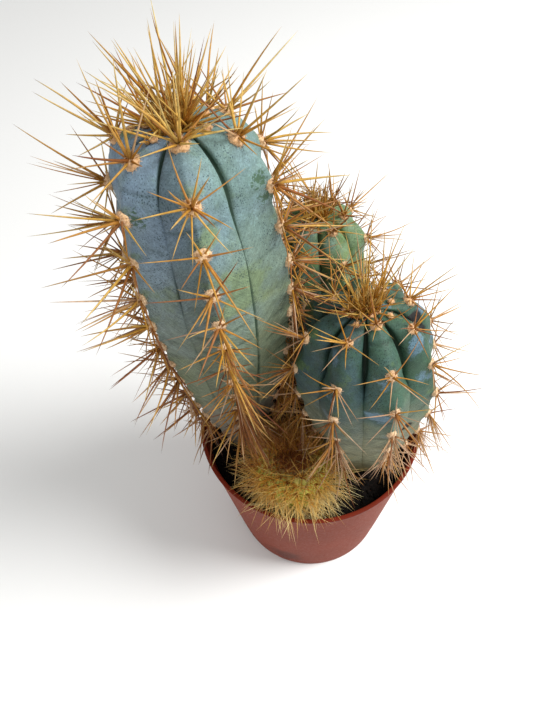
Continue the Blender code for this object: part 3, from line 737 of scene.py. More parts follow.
def skin_relief(plant, angles, ups, seed):
    """Relief of the living skin over the plain form, and the values by which its material draws patterns.

    Gives the relief in millimetres, how much of it is crease, where a point lies between two areoles of
    its rib, and its place along and across the veins in millimetres.
    """
    draw = random.Random(seed)
    relief = RELIEFS[plant.node]
    height, crease, patch = np.zeros((3, len(ups), len(angles)))
    brush = np.zeros((*height.shape, 3))
    facet = np.zeros(len(angles))
    share = groove_share(plant, angles)
    owners = np.array([rib_of(plant, angle) for angle in angles])
    for rib, crest in enumerate(plant.ribs):
        line_ups, line_run = rib_line(plant, crest)
        run = np.interp(ups, line_ups[::-1], line_run[::-1])
        places = areole_runs(plant, rib)
        step = places[1] - places[0]
        places = np.concatenate([[places[0] - step], places, [places[-1] + step]])
        count = np.interp(run, places, np.arange(len(places)))
        fade = ease(run / TIP_FADE) * ease(ups / FOOT_FADE)
        columns = np.flatnonzero(owners == rib)
        own = share[columns]
        # The rib swells at each areole
        wave = 0.5 + 0.5 * np.cos(FULL_TURN * count)
        height[:, columns] += relief.swelling * np.outer(wave ** 1.6 * fade, (1.0 - own) ** 1.5)
        # Low down flat faces run from its crest to the next ones
        sideways = own * np.sign(swing(angles[columns], crest))
        after = (plant.ribs[(rib + 1) % len(plant.ribs)] - crest) % 360.0
        before = (crest - plant.ribs[rib - 1]) % 360.0
        half = np.radians(np.where(sideways > 0.0, after, before) / 2.0)
        facet[columns] = 1.0 - np.cos(half) / np.cos(half * (1.0 - own))
        for spot, side, wide, tall, sign in PATCHES:
            away = (count - spot + 0.5) % 1.0 - 0.5
            patch[:, columns] += sign * np.outer(
                np.exp(-(away * step / tall) ** 2) * fade, np.exp(-((sideways - side) / wide) ** 2))
        # Veins run down and outwards from the crest
        off_crest = skin(plant, angles[columns][None, :], ups[:, None]) - skin(plant, crest, ups)[:, None, :]
        across = np.linalg.norm(off_crest, axis=-1) / MM
        brush[:, columns, 0] = run[:, None] - VEIN_SLOPE * across
        brush[:, columns, 1] = across
        brush[:, columns, 2] = rib * RIB_STRIDE
        # One bent crease lies between each two areoles
        for place in places[1:-1]:
            strength = draw.choice(CREASE_STRENGTHS)
            bend = draw.uniform(*CREASE_BEND)
            middle = place + step * draw.uniform(*CREASE_PLACE) + bend * (own - 0.3)
            off = (run[:, None] - middle[None, :]) / CREASE_WIDTH
            dent = np.exp(-off * off) * strength * fade[:, None] * ease((0.96 - own) / 0.35)[None, :]
            crease[:, columns] = np.maximum(crease[:, columns], dent)
    uneven = lumps(skin(plant, angles[None, :], ups[:, None]) / MM, ups, draw)
    height = height + UNEVEN * uneven * ease((1.0 - ups) / TIP_EDGE)[:, None] - relief.crease * crease
    # Near the tip each groove ends in a narrow cleft; low down the faces are flat from crest to crest
    lean = CLEFT_LEAN * np.cos(np.radians(angles - SHADED_SIDE))
    clefted = ease((ups[:, None] + lean - relief.clefted[0]) / (relief.clefted[1] - relief.clefted[0]))
    cleft = np.exp(-(1.0 - share) / relief.width)
    height = height - relief.cleft * clefted * ease((1.0 - ups) / CLEFT_EDGE)[:, None] * cleft
    flat = groove_depth(plant, angles[None, :], ups[:, None])
    flat = flat - relief.facet * np.outer(ease(ups / ROUND_FOOT), facet)
    flat = flat * core(plant, ups)[3][:, None] - LINE_DEPTH * cleft * ease(ups / LOW_DOWN)[:, None]
    ribbed = ease((ups - relief.ribbed[0]) / (relief.ribbed[1] - relief.ribbed[0]))
    return height + (1.0 - ribbed)[:, None] * flat, crease, patch, brush


def marked(plant, places, kind):
    """How strongly each point of the skin has a kind of mark, 0 to 1."""
    amount = np.zeros(places.shape[:-1])
    for sort, angle, at, radius in MARKS.get(plant.node, ()):
        if sort == kind:
            line_ups, line_run = rib_line(plant, angle)
            middle = skin(plant, angle, np.interp(at, line_run, line_ups))
            away = np.linalg.norm(places - middle, axis=-1) / MM
            amount = np.maximum(amount, np.clip(1.0 - away / radius, 0.0, 1.0))
    return amount


def painted_side_shading(plant, angles, ups):
    """Painted shade and light at each point, as a factor on the skin's colour, 1 where none is painted."""
    side_shading = np.ones((len(ups), len(angles)))
    for middle, wide, low, top, lighter in PAINTED_SIDES.get(plant.node, ()):
        window = ease((ups - low) / SIDE_EDGE) * ease((top - ups) / SIDE_EDGE)
        side_shading = side_shading + lighter * np.outer(window, np.exp(-(swing(angles, middle) / wide) ** 4))
    return side_shading


def build_skin(plant, columns, rows, seed):
    """A plant's closed skin as a mesh with the attributes that its material reads."""
    angles = np.arange(columns) * 360.0 / columns
    ups = np.concatenate([np.linspace(0.0, 1.0, rows)[:-1], [TOP_UP]])
    base = skin(plant, angles[None, :], ups[:, None])
    height, crease, patch, brush = skin_relief(plant, angles, ups, seed)
    patch = patch - BARED * marked(plant, base, "bare")
    scar = marked(plant, base, "scar")
    rot = marked(plant, base, "rot")
    height = height + SCAR_RISE * np.sin(scar * math.pi) - ROT_DEPTH * ease(rot * 1.6)
    around = np.roll(base, -1, axis=1) - np.roll(base, 1, axis=1)
    outward = np.cross(around, np.gradient(base, axis=0))
    outward = outward / np.maximum(np.linalg.norm(outward, axis=-1, keepdims=True), 1e-12)
    places = base + outward * (height * MM)[..., None]
    sunk = places[0] - np.array((0.0, 0.0, SUNK * MM))
    rings = np.concatenate([sunk[None], places])
    vertices = np.concatenate([rings.reshape(-1, 3), [sunk.mean(axis=0), places[-1].mean(axis=0)]])
    faces = ring_faces(len(rings), columns)
    last, foot, tip = (len(rings) - 1) * columns, len(vertices) - 2, len(vertices) - 1
    for k in range(columns):
        after = (k + 1) % columns
        faces += [(after, k, foot), (last + k, last + after, tip)]
    mesh = bpy.data.meshes.new(plant.node)
    mesh.from_pydata(vertices.tolist(), [], faces)
    high = np.broadcast_to(ups[:, None], height.shape)
    # Painted shade: a bluish tint on the side turned away from the key light, weaker low down
    blue_bloom_and_shade = (0.5 + 0.5 * np.cos(np.radians(angles - SHADED_SIDE))) ** 2.5 * ease((high + 0.1) / 0.8)
    for name, values in (
            ("groove", np.broadcast_to(groove_share(plant, angles), height.shape)), ("up", high),
            ("crease", crease), ("scar", scar), ("rot", rot), ("patch", patch), ("blue_bloom_and_shade", blue_bloom_and_shade),
            ("side_shading", painted_side_shading(plant, angles, ups)), ("brush", brush)):
        # The sunk foot and the two middle points take the values of the rings next to them
        ends = [values[0].mean(axis=0), values[-1].mean(axis=0)]
        full = np.concatenate([values[:1], values]).reshape(len(rings) * columns, *values.shape[2:])
        set_attribute(mesh, name, np.concatenate([full, ends]))
    mesh.shade_smooth()
    return mesh


# Where the felt and spines grow

WALL_SIDES = 64        # faces round the pot in the search tree
OBSTACLE_COLUMNS = 96  # faces round and rings up each plant in it
OBSTACLE_ROWS = 70
YOUNG_FROM = 3.2       # first young areole from the growing tip, and from one to the next, millimetres
YOUNG_STEP = 3.6
YOUNG_UNTIL = 3.5      # how far they end before the first full-grown one
YOUNG_SIZE = 0.5       # share of the full felt that they have
BARE_FOOT = 2.0        # a rib has no areole in this distance above the soil


def obstacles():
    """Search tree of the plants' plain skins, the soil and the pot's wall, for keeping spines clear."""
    vertices = []
    faces = []
    angles = np.arange(OBSTACLE_COLUMNS) * 360.0 / OBSTACLE_COLUMNS
    ups = np.linspace(0.0, 1.0, OBSTACLE_ROWS)
    for plant in PLANTS:
        faces += ring_faces(OBSTACLE_ROWS, OBSTACLE_COLUMNS, len(vertices))
        vertices += skin(plant, angles[None, :], ups[:, None]).reshape(-1, 3).tolist()
    pot_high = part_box("pot")[1]
    first = len(vertices)
    # Edge of the soil, inside and outside of the rim, and foot
    for radius, height in ((pot_high.x - 1.5 * MM, SOIL_LEVEL * MM), (pot_high.x - 1.2 * MM, pot_high.z),
                           (pot_high.x, pot_high.z), (pot_high.x * 0.82, 0.0)):
        for k in range(WALL_SIDES):
            turn = FULL_TURN * k / WALL_SIDES
            vertices.append((radius * math.cos(turn), radius * math.sin(turn), height))
    faces += ring_faces(4, WALL_SIDES, first)
    faces.append(tuple(range(first, first + WALL_SIDES)))
    return BVHTree.FromPolygons(vertices, faces)


@dataclass
class Areole:
    """A felt cushion on a rib's crest, where spines grow."""
    place: np.ndarray
    outward: np.ndarray
    upward: np.ndarray
    low: float                # 0 at the growing tip, 1 at the soil
    size: float               # share of the full felt
    young: bool
    rib: int
    number: int               # 0 for the first full-grown one, and rising down the rib


def areole_at(plant, rib, at, young, number):
    """The areole at a distance from the growing tip along a rib, in millimetres."""
    crest = plant.ribs[rib]
    ups, run = rib_line(plant, crest)
    up = float(np.interp(at, run, ups))
    outward, upward = outward_upward(plant, crest, up)
    place = skin(plant, crest, up) + outward * RELIEFS[plant.node].swelling * MM
    return Areole(place, outward, upward, at / run[-1], YOUNG_SIZE if young else 1.0, young,
                  rib, number)


def areoles_of(plant):
    """All areoles of a plant, youngest first on each rib."""
    made = []
    for rib, crest in enumerate(plant.ribs):
        length = rib_line(plant, crest)[1][-1]
        full_grown = areole_runs(plant, rib)
        for at in np.arange(YOUNG_FROM, full_grown[0] - YOUNG_UNTIL, YOUNG_STEP):
            made.append(areole_at(plant, rib, at, True, -1))
        for number, at in enumerate(full_grown):
            if at < length - BARE_FOOT:
                made.append(areole_at(plant, rib, at, False, number))
    return made


@dataclass
class Bunch:
    """Old spines that hang together from one areole like a broom, in millimetres and degrees."""
    count: int
    way: tuple
    spread: float
    length: tuple
    tone: float
    pale: float


# Each row: rib and number of the areole, then the bunch's values in order
BUNCHES = {
    "main_torch_stem": (
        (5, 4, 5, (0.15, -0.35, -1.0), 14.0, (14.0, 22.0), 0.40, 0.10),
        (5, 5, 9, (0.22, -0.30, -1.0), 7.0, (15.0, 25.0), 0.44, 0.10),
        (5, 6, 13, (0.26, -0.30, -1.0), 8.0, (16.0, 27.0), 0.50, 0.10),
        (5, 7, 15, (0.30, -0.34, -1.0), 10.0, (16.0, 26.0), 0.57, 0.05),
        (5, 8, 22, (0.36, -0.50, -0.9), 14.0, (14.0, 25.0), 0.60, 0.05),
        (5, 9, 26, (0.45, -0.62, -0.75), 20.0, (13.0, 24.0), 0.58, 0.05),
        (5, 10, 24, (0.40, -0.80, -0.35), 28.0, (10.0, 20.0), 0.54, 0.05),
        (4, 8, 8, (-0.1, -0.7, -0.6), 30.0, (10.0, 16.0), 0.55, 0.3),
        (4, 10, 10, (-0.1, -0.8, -0.3), 34.0, (7.0, 12.0), 0.6, 0.5),
        (3, 1, 4, (-1.0, -0.1, 0.2), 40.0, (13.0, 21.0), 0.35, 0.1),
        (3, 2, 5, (-1.0, -0.1, 0.0), 45.0, (12.0, 21.0), 0.50, 0.1),
        (3, 3, 6, (-1.0, -0.1, -0.1), 45.0, (12.0, 20.0), 0.55, 0.1),
        (3, 4, 6, (-1.0, -0.1, -0.2), 45.0, (11.0, 20.0), 0.60, 0.15),
        (3, 5, 6, (-1.0, -0.1, -0.2), 48.0, (10.0, 19.0), 0.60, 0.2),
        (3, 6, 6, (-1.0, -0.1, -0.3), 48.0, (10.0, 18.0), 0.65, 0.3),
        (4, 3, 4, (-0.8, -0.6, -0.3), 40.0, (11.0, 18.0), 0.50, 0.1),
        (4, 5, 5, (-0.8, -0.6, -0.4), 44.0, (10.0, 17.0), 0.60, 0.2),
        (6, 1, 6, (0.9, 0.3, 0.3), 45.0, (9.0, 15.0), 0.36, 0.1),
        (6, 2, 12, (0.9, 0.2, 0.0), 50.0, (9.0, 16.0), 0.50, 0.1),
        (6, 3, 13, (0.9, 0.1, -0.2), 50.0, (9.0, 16.0), 0.52, 0.1),
        (6, 4, 12, (0.8, -0.1, -0.4), 46.0, (8.0, 14.0), 0.52, 0.1),
        (6, 5, 10, (0.7, -0.2, -0.5), 42.0, (7.0, 12.0), 0.60, 0.1),
        (6, 6, 12, (0.6, -0.2, -0.5), 44.0, (8.0, 13.0), 0.60, 0.1),
        (6, 7, 14, (0.5, -0.5, -0.5), 44.0, (8.0, 15.0), 0.54, 0.1),
        (6, 8, 16, (0.4, -0.7, -0.4), 44.0, (9.0, 17.0), 0.50, 0.05),
        (6, 9, 18, (0.4, -0.8, -0.2), 44.0, (9.0, 18.0), 0.46, 0.05),
        (6, 10, 18, (0.4, -0.8, 0.1), 40.0, (9.0, 18.0), 0.36, 0.05),
    ),
    "right_torch_stem": (
        (5, 2, 6, (-0.5, -0.5, -0.7), 34.0, (12.0, 19.0), 0.45, 0.5),
        (5, 3, 12, (-0.2, -0.55, -0.9), 30.0, (12.0, 20.0), 0.42, 0.7),
        (5, 4, 10, (-0.2, -0.7, -0.6), 34.0, (8.0, 14.0), 0.42, 0.8),
        (6, 2, 5, (0.2, -0.6, -0.8), 36.0, (12.0, 17.0), 0.45, 0.6),
        (6, 3, 16, (0.1, -0.5, -1.0), 26.0, (12.0, 20.0), 0.42, 0.8),
        (6, 4, 26, (0.1, -0.6, -0.7), 32.0, (6.0, 12.0), 0.30, 0.9),
        (7, 3, 12, (0.3, -0.5, -0.9), 28.0, (10.0, 17.0), 0.42, 0.8),
        (7, 4, 22, (0.2, -0.7, -0.5), 32.0, (6.0, 12.0), 0.30, 0.9),
        (4, 2, 8, (-0.7, -0.4, -0.3), 40.0, (8.0, 13.0), 0.50, 0.2),
        (4, 3, 10, (-0.5, -0.6, -0.3), 40.0, (8.0, 13.0), 0.45, 0.2),
        (4, 4, 12, (-0.4, -0.8, -0.1), 40.0, (8.0, 14.0), 0.40, 0.2),
        (3, 2, 8, (-0.6, 0.2, 0.1), 50.0, (7.0, 12.0), 0.50, 0.1),
        (3, 3, 10, (-0.6, 0.0, 0.1), 50.0, (7.0, 12.0), 0.50, 0.1),
    ),
    "back_torch_stem": (
        (3, 0, 12, (-0.6, -0.4, 0.5), 50.0, (8.0, 14.0), 0.40, 0.1),
        (3, 1, 12, (-0.6, -0.4, 0.3), 55.0, (7.0, 13.0), 0.42, 0.15),
        (3, 2, 10, (-0.6, -0.3, 0.0), 55.0, (7.0, 13.0), 0.52, 0.15),
        (3, 3, 8, (-0.6, -0.3, 0.0), 55.0, (7.0, 13.0), 0.55, 0.15),
    ),
}

BOX_MARGIN = 0.3       # how far spines stay inside the construction model's box, millimetres
SHORTEST = 2.5         # a spine that would be shorter is left out, millimetres
TONE_SPREAD = 0.1      # how much the tones of like spines differ
TRIES = 5              # how often a spine that would touch is raised
RAISED = 0.8           # what share of its tilt is then left
FREE = 0.96            # share of the clear way that a spine takes
DROOP = 0.75           # how strongly an old spine turns down, and a young one up
RISE = 0.35
RISE_UNTIL = 0.16      # share of the way from the growing tip to the soil over which spines still rise
BENDS = (0.02, 0.04, 0.07, 0.12, 0.2)   # shares of a spine's length
GIRTHS = {             # girths of spines, as shares of their plant's
    "radial": (0.7, 0.95), "central": (0.95, 1.25), "tuft": (0.7, 1.1), "bunch": (0.42, 0.75)}
DARK_SHARE = 0.28      # share of darker spines, and how much darker they are
DARKER = 0.3
BLEACHED = 0.95        # how pale an old spine is at most, and a fresh one
FRESH = 0.15


class Needles:
    """Spines gathered for one piece: where each starts, which way it goes and how it looks."""

    def __init__(self, search, seed):
        self.search = search
        self.draw = random.Random(seed)
        self.rows = []

    def clear(self, start, way, length, lift=1.0):
        """How long a spine can be before it meets a skin, the soil or the pot."""
        hit = self.search.ray_cast(Vector(start + way * lift * MM), Vector(way), length)
        return length if hit[0] is None else hit[3] + lift * MM

    def inside(self, start, way, length):
        """Length that keeps the tip within the construction model's box."""
        for axis in range(3):
            room = (CAD_HIGH[axis] if way[axis] > 0.0 else CAD_LOW[axis]) - start[axis]
            if abs(way[axis]) > 1e-6:
                length = min(length, room / way[axis] - BOX_MARGIN * MM)
        return length

    def scatter(self, way, spread):
        """A unit direction within a cone about another, spread in degrees."""
        off = np.array([self.draw.gauss(0.0, 1.0) for _ in range(3)]) * math.tan(math.radians(spread)) * 0.6
        return unit(unit(np.asarray(way, float)) + off)

    def add(self, start, way, length, girth, bend, tone, pale):
        """Notes a spine, shortened to stay within the box. Lengths are in metres, bend is a share of it."""
        side = np.cross(way, np.array([self.draw.uniform(-1.0, 1.0) for _ in range(3)]))
        bow = side * bend * length
        end = way + bow / max(length, 1e-6)
        reach = np.linalg.norm(end)
        length = min(length, self.inside(start, end / reach, length * reach) / reach)
        tone = min(max(tone + self.draw.gauss(0.0, TONE_SPREAD), 0.0), 1.0)
        if length > SHORTEST * MM:
            self.rows.append((start, way, length, girth * MM, bow, tone, pale, self.draw.uniform(0.2, 1.0)))

    def mesh(self, name):
        """The gathered spines as loose points."""
        starts, *values = zip(*self.rows)
        names = ("way", "length", "girth", "bow", "tone", "pale", "tip")
        return points_mesh(name, starts, **dict(zip(names, values)))


def grow_spine(needles, areole, growth, tilt, turn, length, girth):
    """Grows one spine from an areole, raised off the skin where it would touch."""
    draw = needles.draw
    down = growth.hang * ease(areole.low / 0.6)
    for _ in range(TRIES):
        way = tilted(areole.outward, areole.upward, math.radians(tilt), turn)
        way = way + np.array((0.0, 0.0, -DROOP * down)) * draw.uniform(0.5, 1.0)
        if areole.low < RISE_UNTIL:
            way = way + np.array((0.0, 0.0, RISE)) * (1.0 - areole.low / RISE_UNTIL)
        way = unit(way)
        start = areole.place + way * 0.2 * MM
        clear = needles.clear(start, way, length * 1.05)
        if clear >= length:
            break
        tilt = tilt * RAISED
        turn = turn + draw.uniform(-0.4, 0.4)
    length = min(length, clear * FREE)
    bend = draw.choice(BENDS)
    tone = between(growth.tone, areole.low ** 0.8)
    bleached = draw.random() < between(growth.pale, areole.low)
    pale = draw.uniform(0.5, BLEACHED) if bleached else draw.uniform(0.0, FRESH)
    if draw.random() < DARK_SHARE:
        tone += DARKER
    if length > (SHORTEST + 1.0) * MM:
        needles.add(start, way, length, girth, bend, tone, pale)


# The longest spines of a tuft: which way each goes, and its length in millimetres
LEADERS = {
    "main_torch_stem": (
        ((-0.08, 0.60, 0.78), 26.0), ((0.14, 0.30, 0.95), 21.0), ((0.10, 0.36, 0.93), 19.5),
        ((-0.62, 0.30, 0.72), 22.0), ((-0.45, 0.28, 0.85), 20.0), ((0.42, 0.34, 0.84), 20.0),
        ((-0.72, 0.10, 0.68), 20.0), ((0.56, 0.26, 0.78), 18.0)),
    "right_torch_stem": (
        ((0.12, 0.62, 0.78), 27.0), ((-0.22, 0.50, 0.84), 22.0), ((0.42, 0.50, 0.75), 25.0),
        ((0.55, 0.30, 0.78), 21.0), ((-0.45, 0.40, 0.78), 18.0), ((0.02, 0.35, 0.93), 20.0)),
}
LEADERS_UP = 0.985     # share of the way up where they start
LEADERS_GIRTH = 1.15   # share of the plant's usual girth
LEADERS_TONE = 0.08
TUFT_LIFT = 0.6        # a tuft's spines may touch the skin over this distance at their root, millimetres
TUFT_BESIDE = 10.0     # how far beside a crest the other spines of a tuft start, degrees
FAN_REACH = 5.0        # how far down from the growing tip the fan and the tangle start, millimetres
TANGLE_REACH = 3.4
FAN_SPREAD = 50.0      # how far round from its crest a spine leans, degrees
TANGLE_SPREAD = 90.0
TANGLE_LEAN = 0.5      # share of the fan's lean that the tangle has
TANGLE_LENGTH = (3.5, 9.5)
TANGLE_BOW = 0.45      # bend of the most curled spines of the tangle
OLD_SHARE = 0.12       # share of old spines in the fan, and how much darker they are
OLD_DARKER = 0.4


def grow_tuft(needles, plant, growth):
    """The fan of young spines at the growing tip, and the tangle of short crossing ones at its root."""
    draw = needles.draw
    lines = [rib_line(plant, crest) for crest in plant.ribs]
    for way, length in LEADERS.get(plant.node, ()):
        way = unit(np.array(way))
        start = skin(plant, math.degrees(math.atan2(way[1], way[0])), LEADERS_UP)
        length = min(length * MM, FREE * needles.clear(start, way, length * MM, TUFT_LIFT))
        needles.add(start, way, length, growth.girth * LEADERS_GIRTH, 0.03, LEADERS_TONE, 0.0)
    for k in range(growth.tuft + growth.tangle):
        short = k >= growth.tuft
        rib = draw.randrange(len(plant.ribs))
        crest = plant.ribs[rib] + draw.uniform(-TUFT_BESIDE, TUFT_BESIDE)
        ups, run = lines[rib]
        reach = draw.uniform(0.4, TANGLE_REACH if short else FAN_REACH)
        reach = reach * (1.0 + growth.tuft_side * math.cos(math.radians(crest - SHADED_SIDE)))
        start = skin(plant, crest, np.interp(reach, run, ups))
        turn = math.radians(crest + draw.gauss(0.0, TANGLE_SPREAD if short else FAN_SPREAD))
        lean = math.radians(growth.tuft_tilt) * draw.uniform(0.02, TANGLE_LEAN if short else 1.0)
        way = np.array((math.cos(turn) * math.sin(lean), math.sin(turn) * math.sin(lean), math.cos(lean)))
        length = draw.uniform(*growth.tuft_length) * (1.0 - 0.15 * lean)
        tone = 0.25 * draw.random() + growth.tone[0] * 0.4
        if short:
            length = draw.uniform(*TANGLE_LENGTH)
            tone = tone + 0.06
        elif draw.random() < OLD_SHARE:
            tone = tone + OLD_DARKER
        length = min(length * MM, FREE * needles.clear(start, way, length * MM, TUFT_LIFT))
        needles.add(start, way, length, growth.girth * draw.uniform(*GIRTHS["tuft"]),
                    draw.choice((0.02, 0.05, 0.1, TANGLE_BOW if short else 0.1)), tone, 0.0)


LYING = 0.05           # a bunch's spine that leans outwards by less is lifted off the skin,
LIFTED = 0.12          # to lean outwards by this, as shares of its length
BUNCH_FREE = 0.97      # share of the clear way that its spines take
BUNCH_FRESH = 0.06     # how pale its fresh spines are at most


def grow_bunch(needles, areole, bunch, girth):
    """The old spines that hang together from one areole."""
    draw = needles.draw
    for _ in range(bunch.count):
        way = needles.scatter(bunch.way, bunch.spread)
        start = areole.place + (areole.outward * 0.3 + way * 0.3) * MM
        length = draw.uniform(*bunch.length) * MM
        outwards = float(np.dot(way, areole.outward))
        if outwards < LYING:
            way = unit(way + areole.outward * (LIFTED - outwards))
        length = min(length, BUNCH_FREE * needles.clear(start, way, length))
        pale = draw.uniform(0.4, BLEACHED) if draw.random() < bunch.pale else draw.uniform(0.0, BUNCH_FRESH)
        needles.add(start, way, length, girth * draw.uniform(*GIRTHS["bunch"]),
                    draw.choice((0.03, 0.07, 0.14)), bunch.tone, pale)


RADIAL_STRAY = 0.22    # how far a radial strays from its even place round the areole, radians


def stem_needles(plant, growth, search, seed):
    """Every spine of a torch stem: radials and a few longer centrals on each areole, tuft and bunches."""
    needles = Needles(search, seed)
    draw = needles.draw
    grow_tuft(needles, plant, growth)
    bunches = {(rib, number): Bunch(*values) for rib, number, *values in BUNCHES[plant.node]}
    for areole in areoles_of(plant):
        if areole.young:
            continue
        first = draw.uniform(0.0, FULL_TURN)
        count = draw.randint(*growth.radials)
        for k in range(count):
            turn = first + FULL_TURN * k / count + draw.uniform(-RADIAL_STRAY, RADIAL_STRAY)
            length = draw.uniform(*growth.radial_length) * MM
            grow_spine(needles, areole, growth, draw.uniform(*growth.radial_tilt), turn, length,
                       growth.girth * draw.uniform(*GIRTHS["radial"]))
        for _ in range(draw.randint(*growth.centrals)):
            length = draw.uniform(*growth.central_length) * MM
            grow_spine(needles, areole, growth, draw.uniform(*growth.central_tilt),
                       draw.uniform(0.0, FULL_TURN), length,
                       growth.girth * draw.uniform(*GIRTHS["central"]))
        if (areole.rib, areole.number) in bunches:
            grow_bunch(needles, areole, bunches[areole.rib, areole.number], growth.girth)
    return needles


# Geometry trees

def stand(tree, points, shape, way, **sockets):
    """Stands a shape on every point, with its Z axis along a direction."""
    turned = add(tree, "FunctionNodeAlignRotationToVector", {"Vector": way}, axis="Z")
    return add(tree, "GeometryNodeInstanceOnPoints", {
        "Points": points, "Instance": shape, "Rotation": turned, **sockets})


def roughened(tree, shape, size, low, high):
    """A realised shape whose surface a noise moves in and out along its normals, in millimetres."""
    whole = add(tree, "GeometryNodeRealizeInstances", (shape,))
    place = add(tree, "GeometryNodeInputPosition")
    noise = add(tree, "ShaderNodeTexNoise", {"Vector": place, "Scale": per_mm(size), "Detail": 2.0})
    rise = add(tree, "ShaderNodeMapRange", (noise, 0.3, 0.7, low * MM, high * MM))
    normal = add(tree, "GeometryNodeInputNormal")
    offset = add(tree, "ShaderNodeVectorMath", {0: normal, 3: rise}, operation="SCALE")
    return add(tree, "GeometryNodeSetPosition", {"Geometry": whole, "Offset": offset})


def needle_tree():
    """Stands a tapered, bent needle on every point, along its direction."""
    tree, given = new_tree("Needles", Sides=("Int", 5), Rings=("Int", 6), Material=("Material", None))
    cone = add(tree, "GeometryNodeMeshCone", {
        "Vertices": given["Sides"], "Side Segments": given["Rings"],
        "Radius Top": 0.0, "Radius Bottom": 1.0, "Depth": 1.0}, fill_type="NGON")
    place = add(tree, "GeometryNodeInputPosition")
    height = add(tree, "ShaderNodeSeparateXYZ", (place,)).outputs["Z"]
    noted = add(tree, "GeometryNodeStoreNamedAttribute", {
        "Geometry": cone, "Name": "along", "Value": height}, data_type="FLOAT", domain="POINT")
    # A straight cone looks too thin, so the needle keeps its girth for longer and has a swollen root
    left = add(tree, "ShaderNodeMath", (1.03, height), operation="SUBTRACT")
    fuller = add(tree, "ShaderNodeMath", (left, -0.4), operation="POWER")
    root = add(tree, "ShaderNodeMapRange", (height, 0.0, 0.1, 1.5, 1.0))
    wide = add(tree, "ShaderNodeMath", (fuller, root), operation="MULTIPLY")
    factor = add(tree, "ShaderNodeCombineXYZ", (wide, wide, 1.0))
    fitted = add(tree, "ShaderNodeVectorMath", (place, factor), operation="MULTIPLY")
    shaped = add(tree, "GeometryNodeSetPosition", {"Geometry": noted, "Position": fitted})
    way, bow = (
        add(tree, "GeometryNodeInputNamedAttribute", {"Name": name}, data_type="FLOAT_VECTOR")
        for name in ("way", "bow"))
    girth, length, along = (
        add(tree, "GeometryNodeInputNamedAttribute", {"Name": name}, data_type="FLOAT")
        for name in ("girth", "length", "along"))
    scale = add(tree, "ShaderNodeCombineXYZ", (girth, girth, length))
    stood = stand(tree, given["Geometry"], shaped, way, Scale=scale)
    whole = add(tree, "GeometryNodeRealizeInstances", (stood,))
    squared = add(tree, "ShaderNodeMath", (along, 2.0), operation="POWER")
    offset = add(tree, "ShaderNodeVectorMath", {0: bow, 3: squared}, operation="SCALE")
    bent = add(tree, "GeometryNodeSetPosition", {"Geometry": whole, "Offset": offset})
    end_tree(tree, bent, given["Material"], spent=("way", "girth", "length", "bow"))
    return tree


def felt_tree():
    """Sets a lumpy felt cushion on every point, and covers it with short hairs."""
    tree, given = new_tree("Felt", Size=("Float", 1.6 * MM), Hairs=("Float", 6.0), Seed=("Int", 3),
                           Material=("Material", None))
    ball = add(tree, "GeometryNodeMeshIcoSphere", {"Radius": 1.0, "Subdivisions": 2})
    way = add(tree, "GeometryNodeInputNamedAttribute", {"Name": "way"}, data_type="FLOAT_VECTOR")
    size = add(tree, "GeometryNodeInputNamedAttribute", {"Name": "size"}, data_type="FLOAT")
    full = add(tree, "ShaderNodeMath", (size, given["Size"]), operation="MULTIPLY")
    flat = add(tree, "ShaderNodeMath", (full, 0.62), operation="MULTIPLY")
    scale = add(tree, "ShaderNodeCombineXYZ", (full, full, flat))
    stood = stand(tree, given["Geometry"], ball, way, Scale=scale)
    lumpy = roughened(tree, stood, 1.1, -0.28, 0.35)
    # Hairs about 0.9 mm long, a few to each square millimetre, leaning every way
    dense = add(tree, "ShaderNodeMath", (given["Hairs"], PER_SQUARE_METRE), operation="MULTIPLY")
    spots = add(tree, "GeometryNodeDistributePointsOnFaces", {
        "Mesh": lumpy, "Density": dense, "Seed": given["Seed"]})
    hair = add(tree, "GeometryNodeMeshCone", {
        "Vertices": 3, "Side Segments": 1, "Radius Top": 0.0, "Radius Bottom": 0.055 * MM,
        "Depth": 0.9 * MM}, fill_type="NGON")
    lean = add(tree, "FunctionNodeRandomValue", {
        0: (-0.75, -0.75, -0.75), 1: (0.75, 0.75, 0.75), "Seed": given["Seed"]}, data_type="FLOAT_VECTOR")
    leaning = add(tree, "ShaderNodeVectorMath", (spots.outputs["Normal"], lean), operation="ADD")
    joined = add(tree, "GeometryNodeJoinGeometry", (stand(tree, spots, hair, leaning),))
    fill(tree, joined, (lumpy,))
    end_tree(tree, joined, given["Material"], spent=("way", "size"))
    return tree


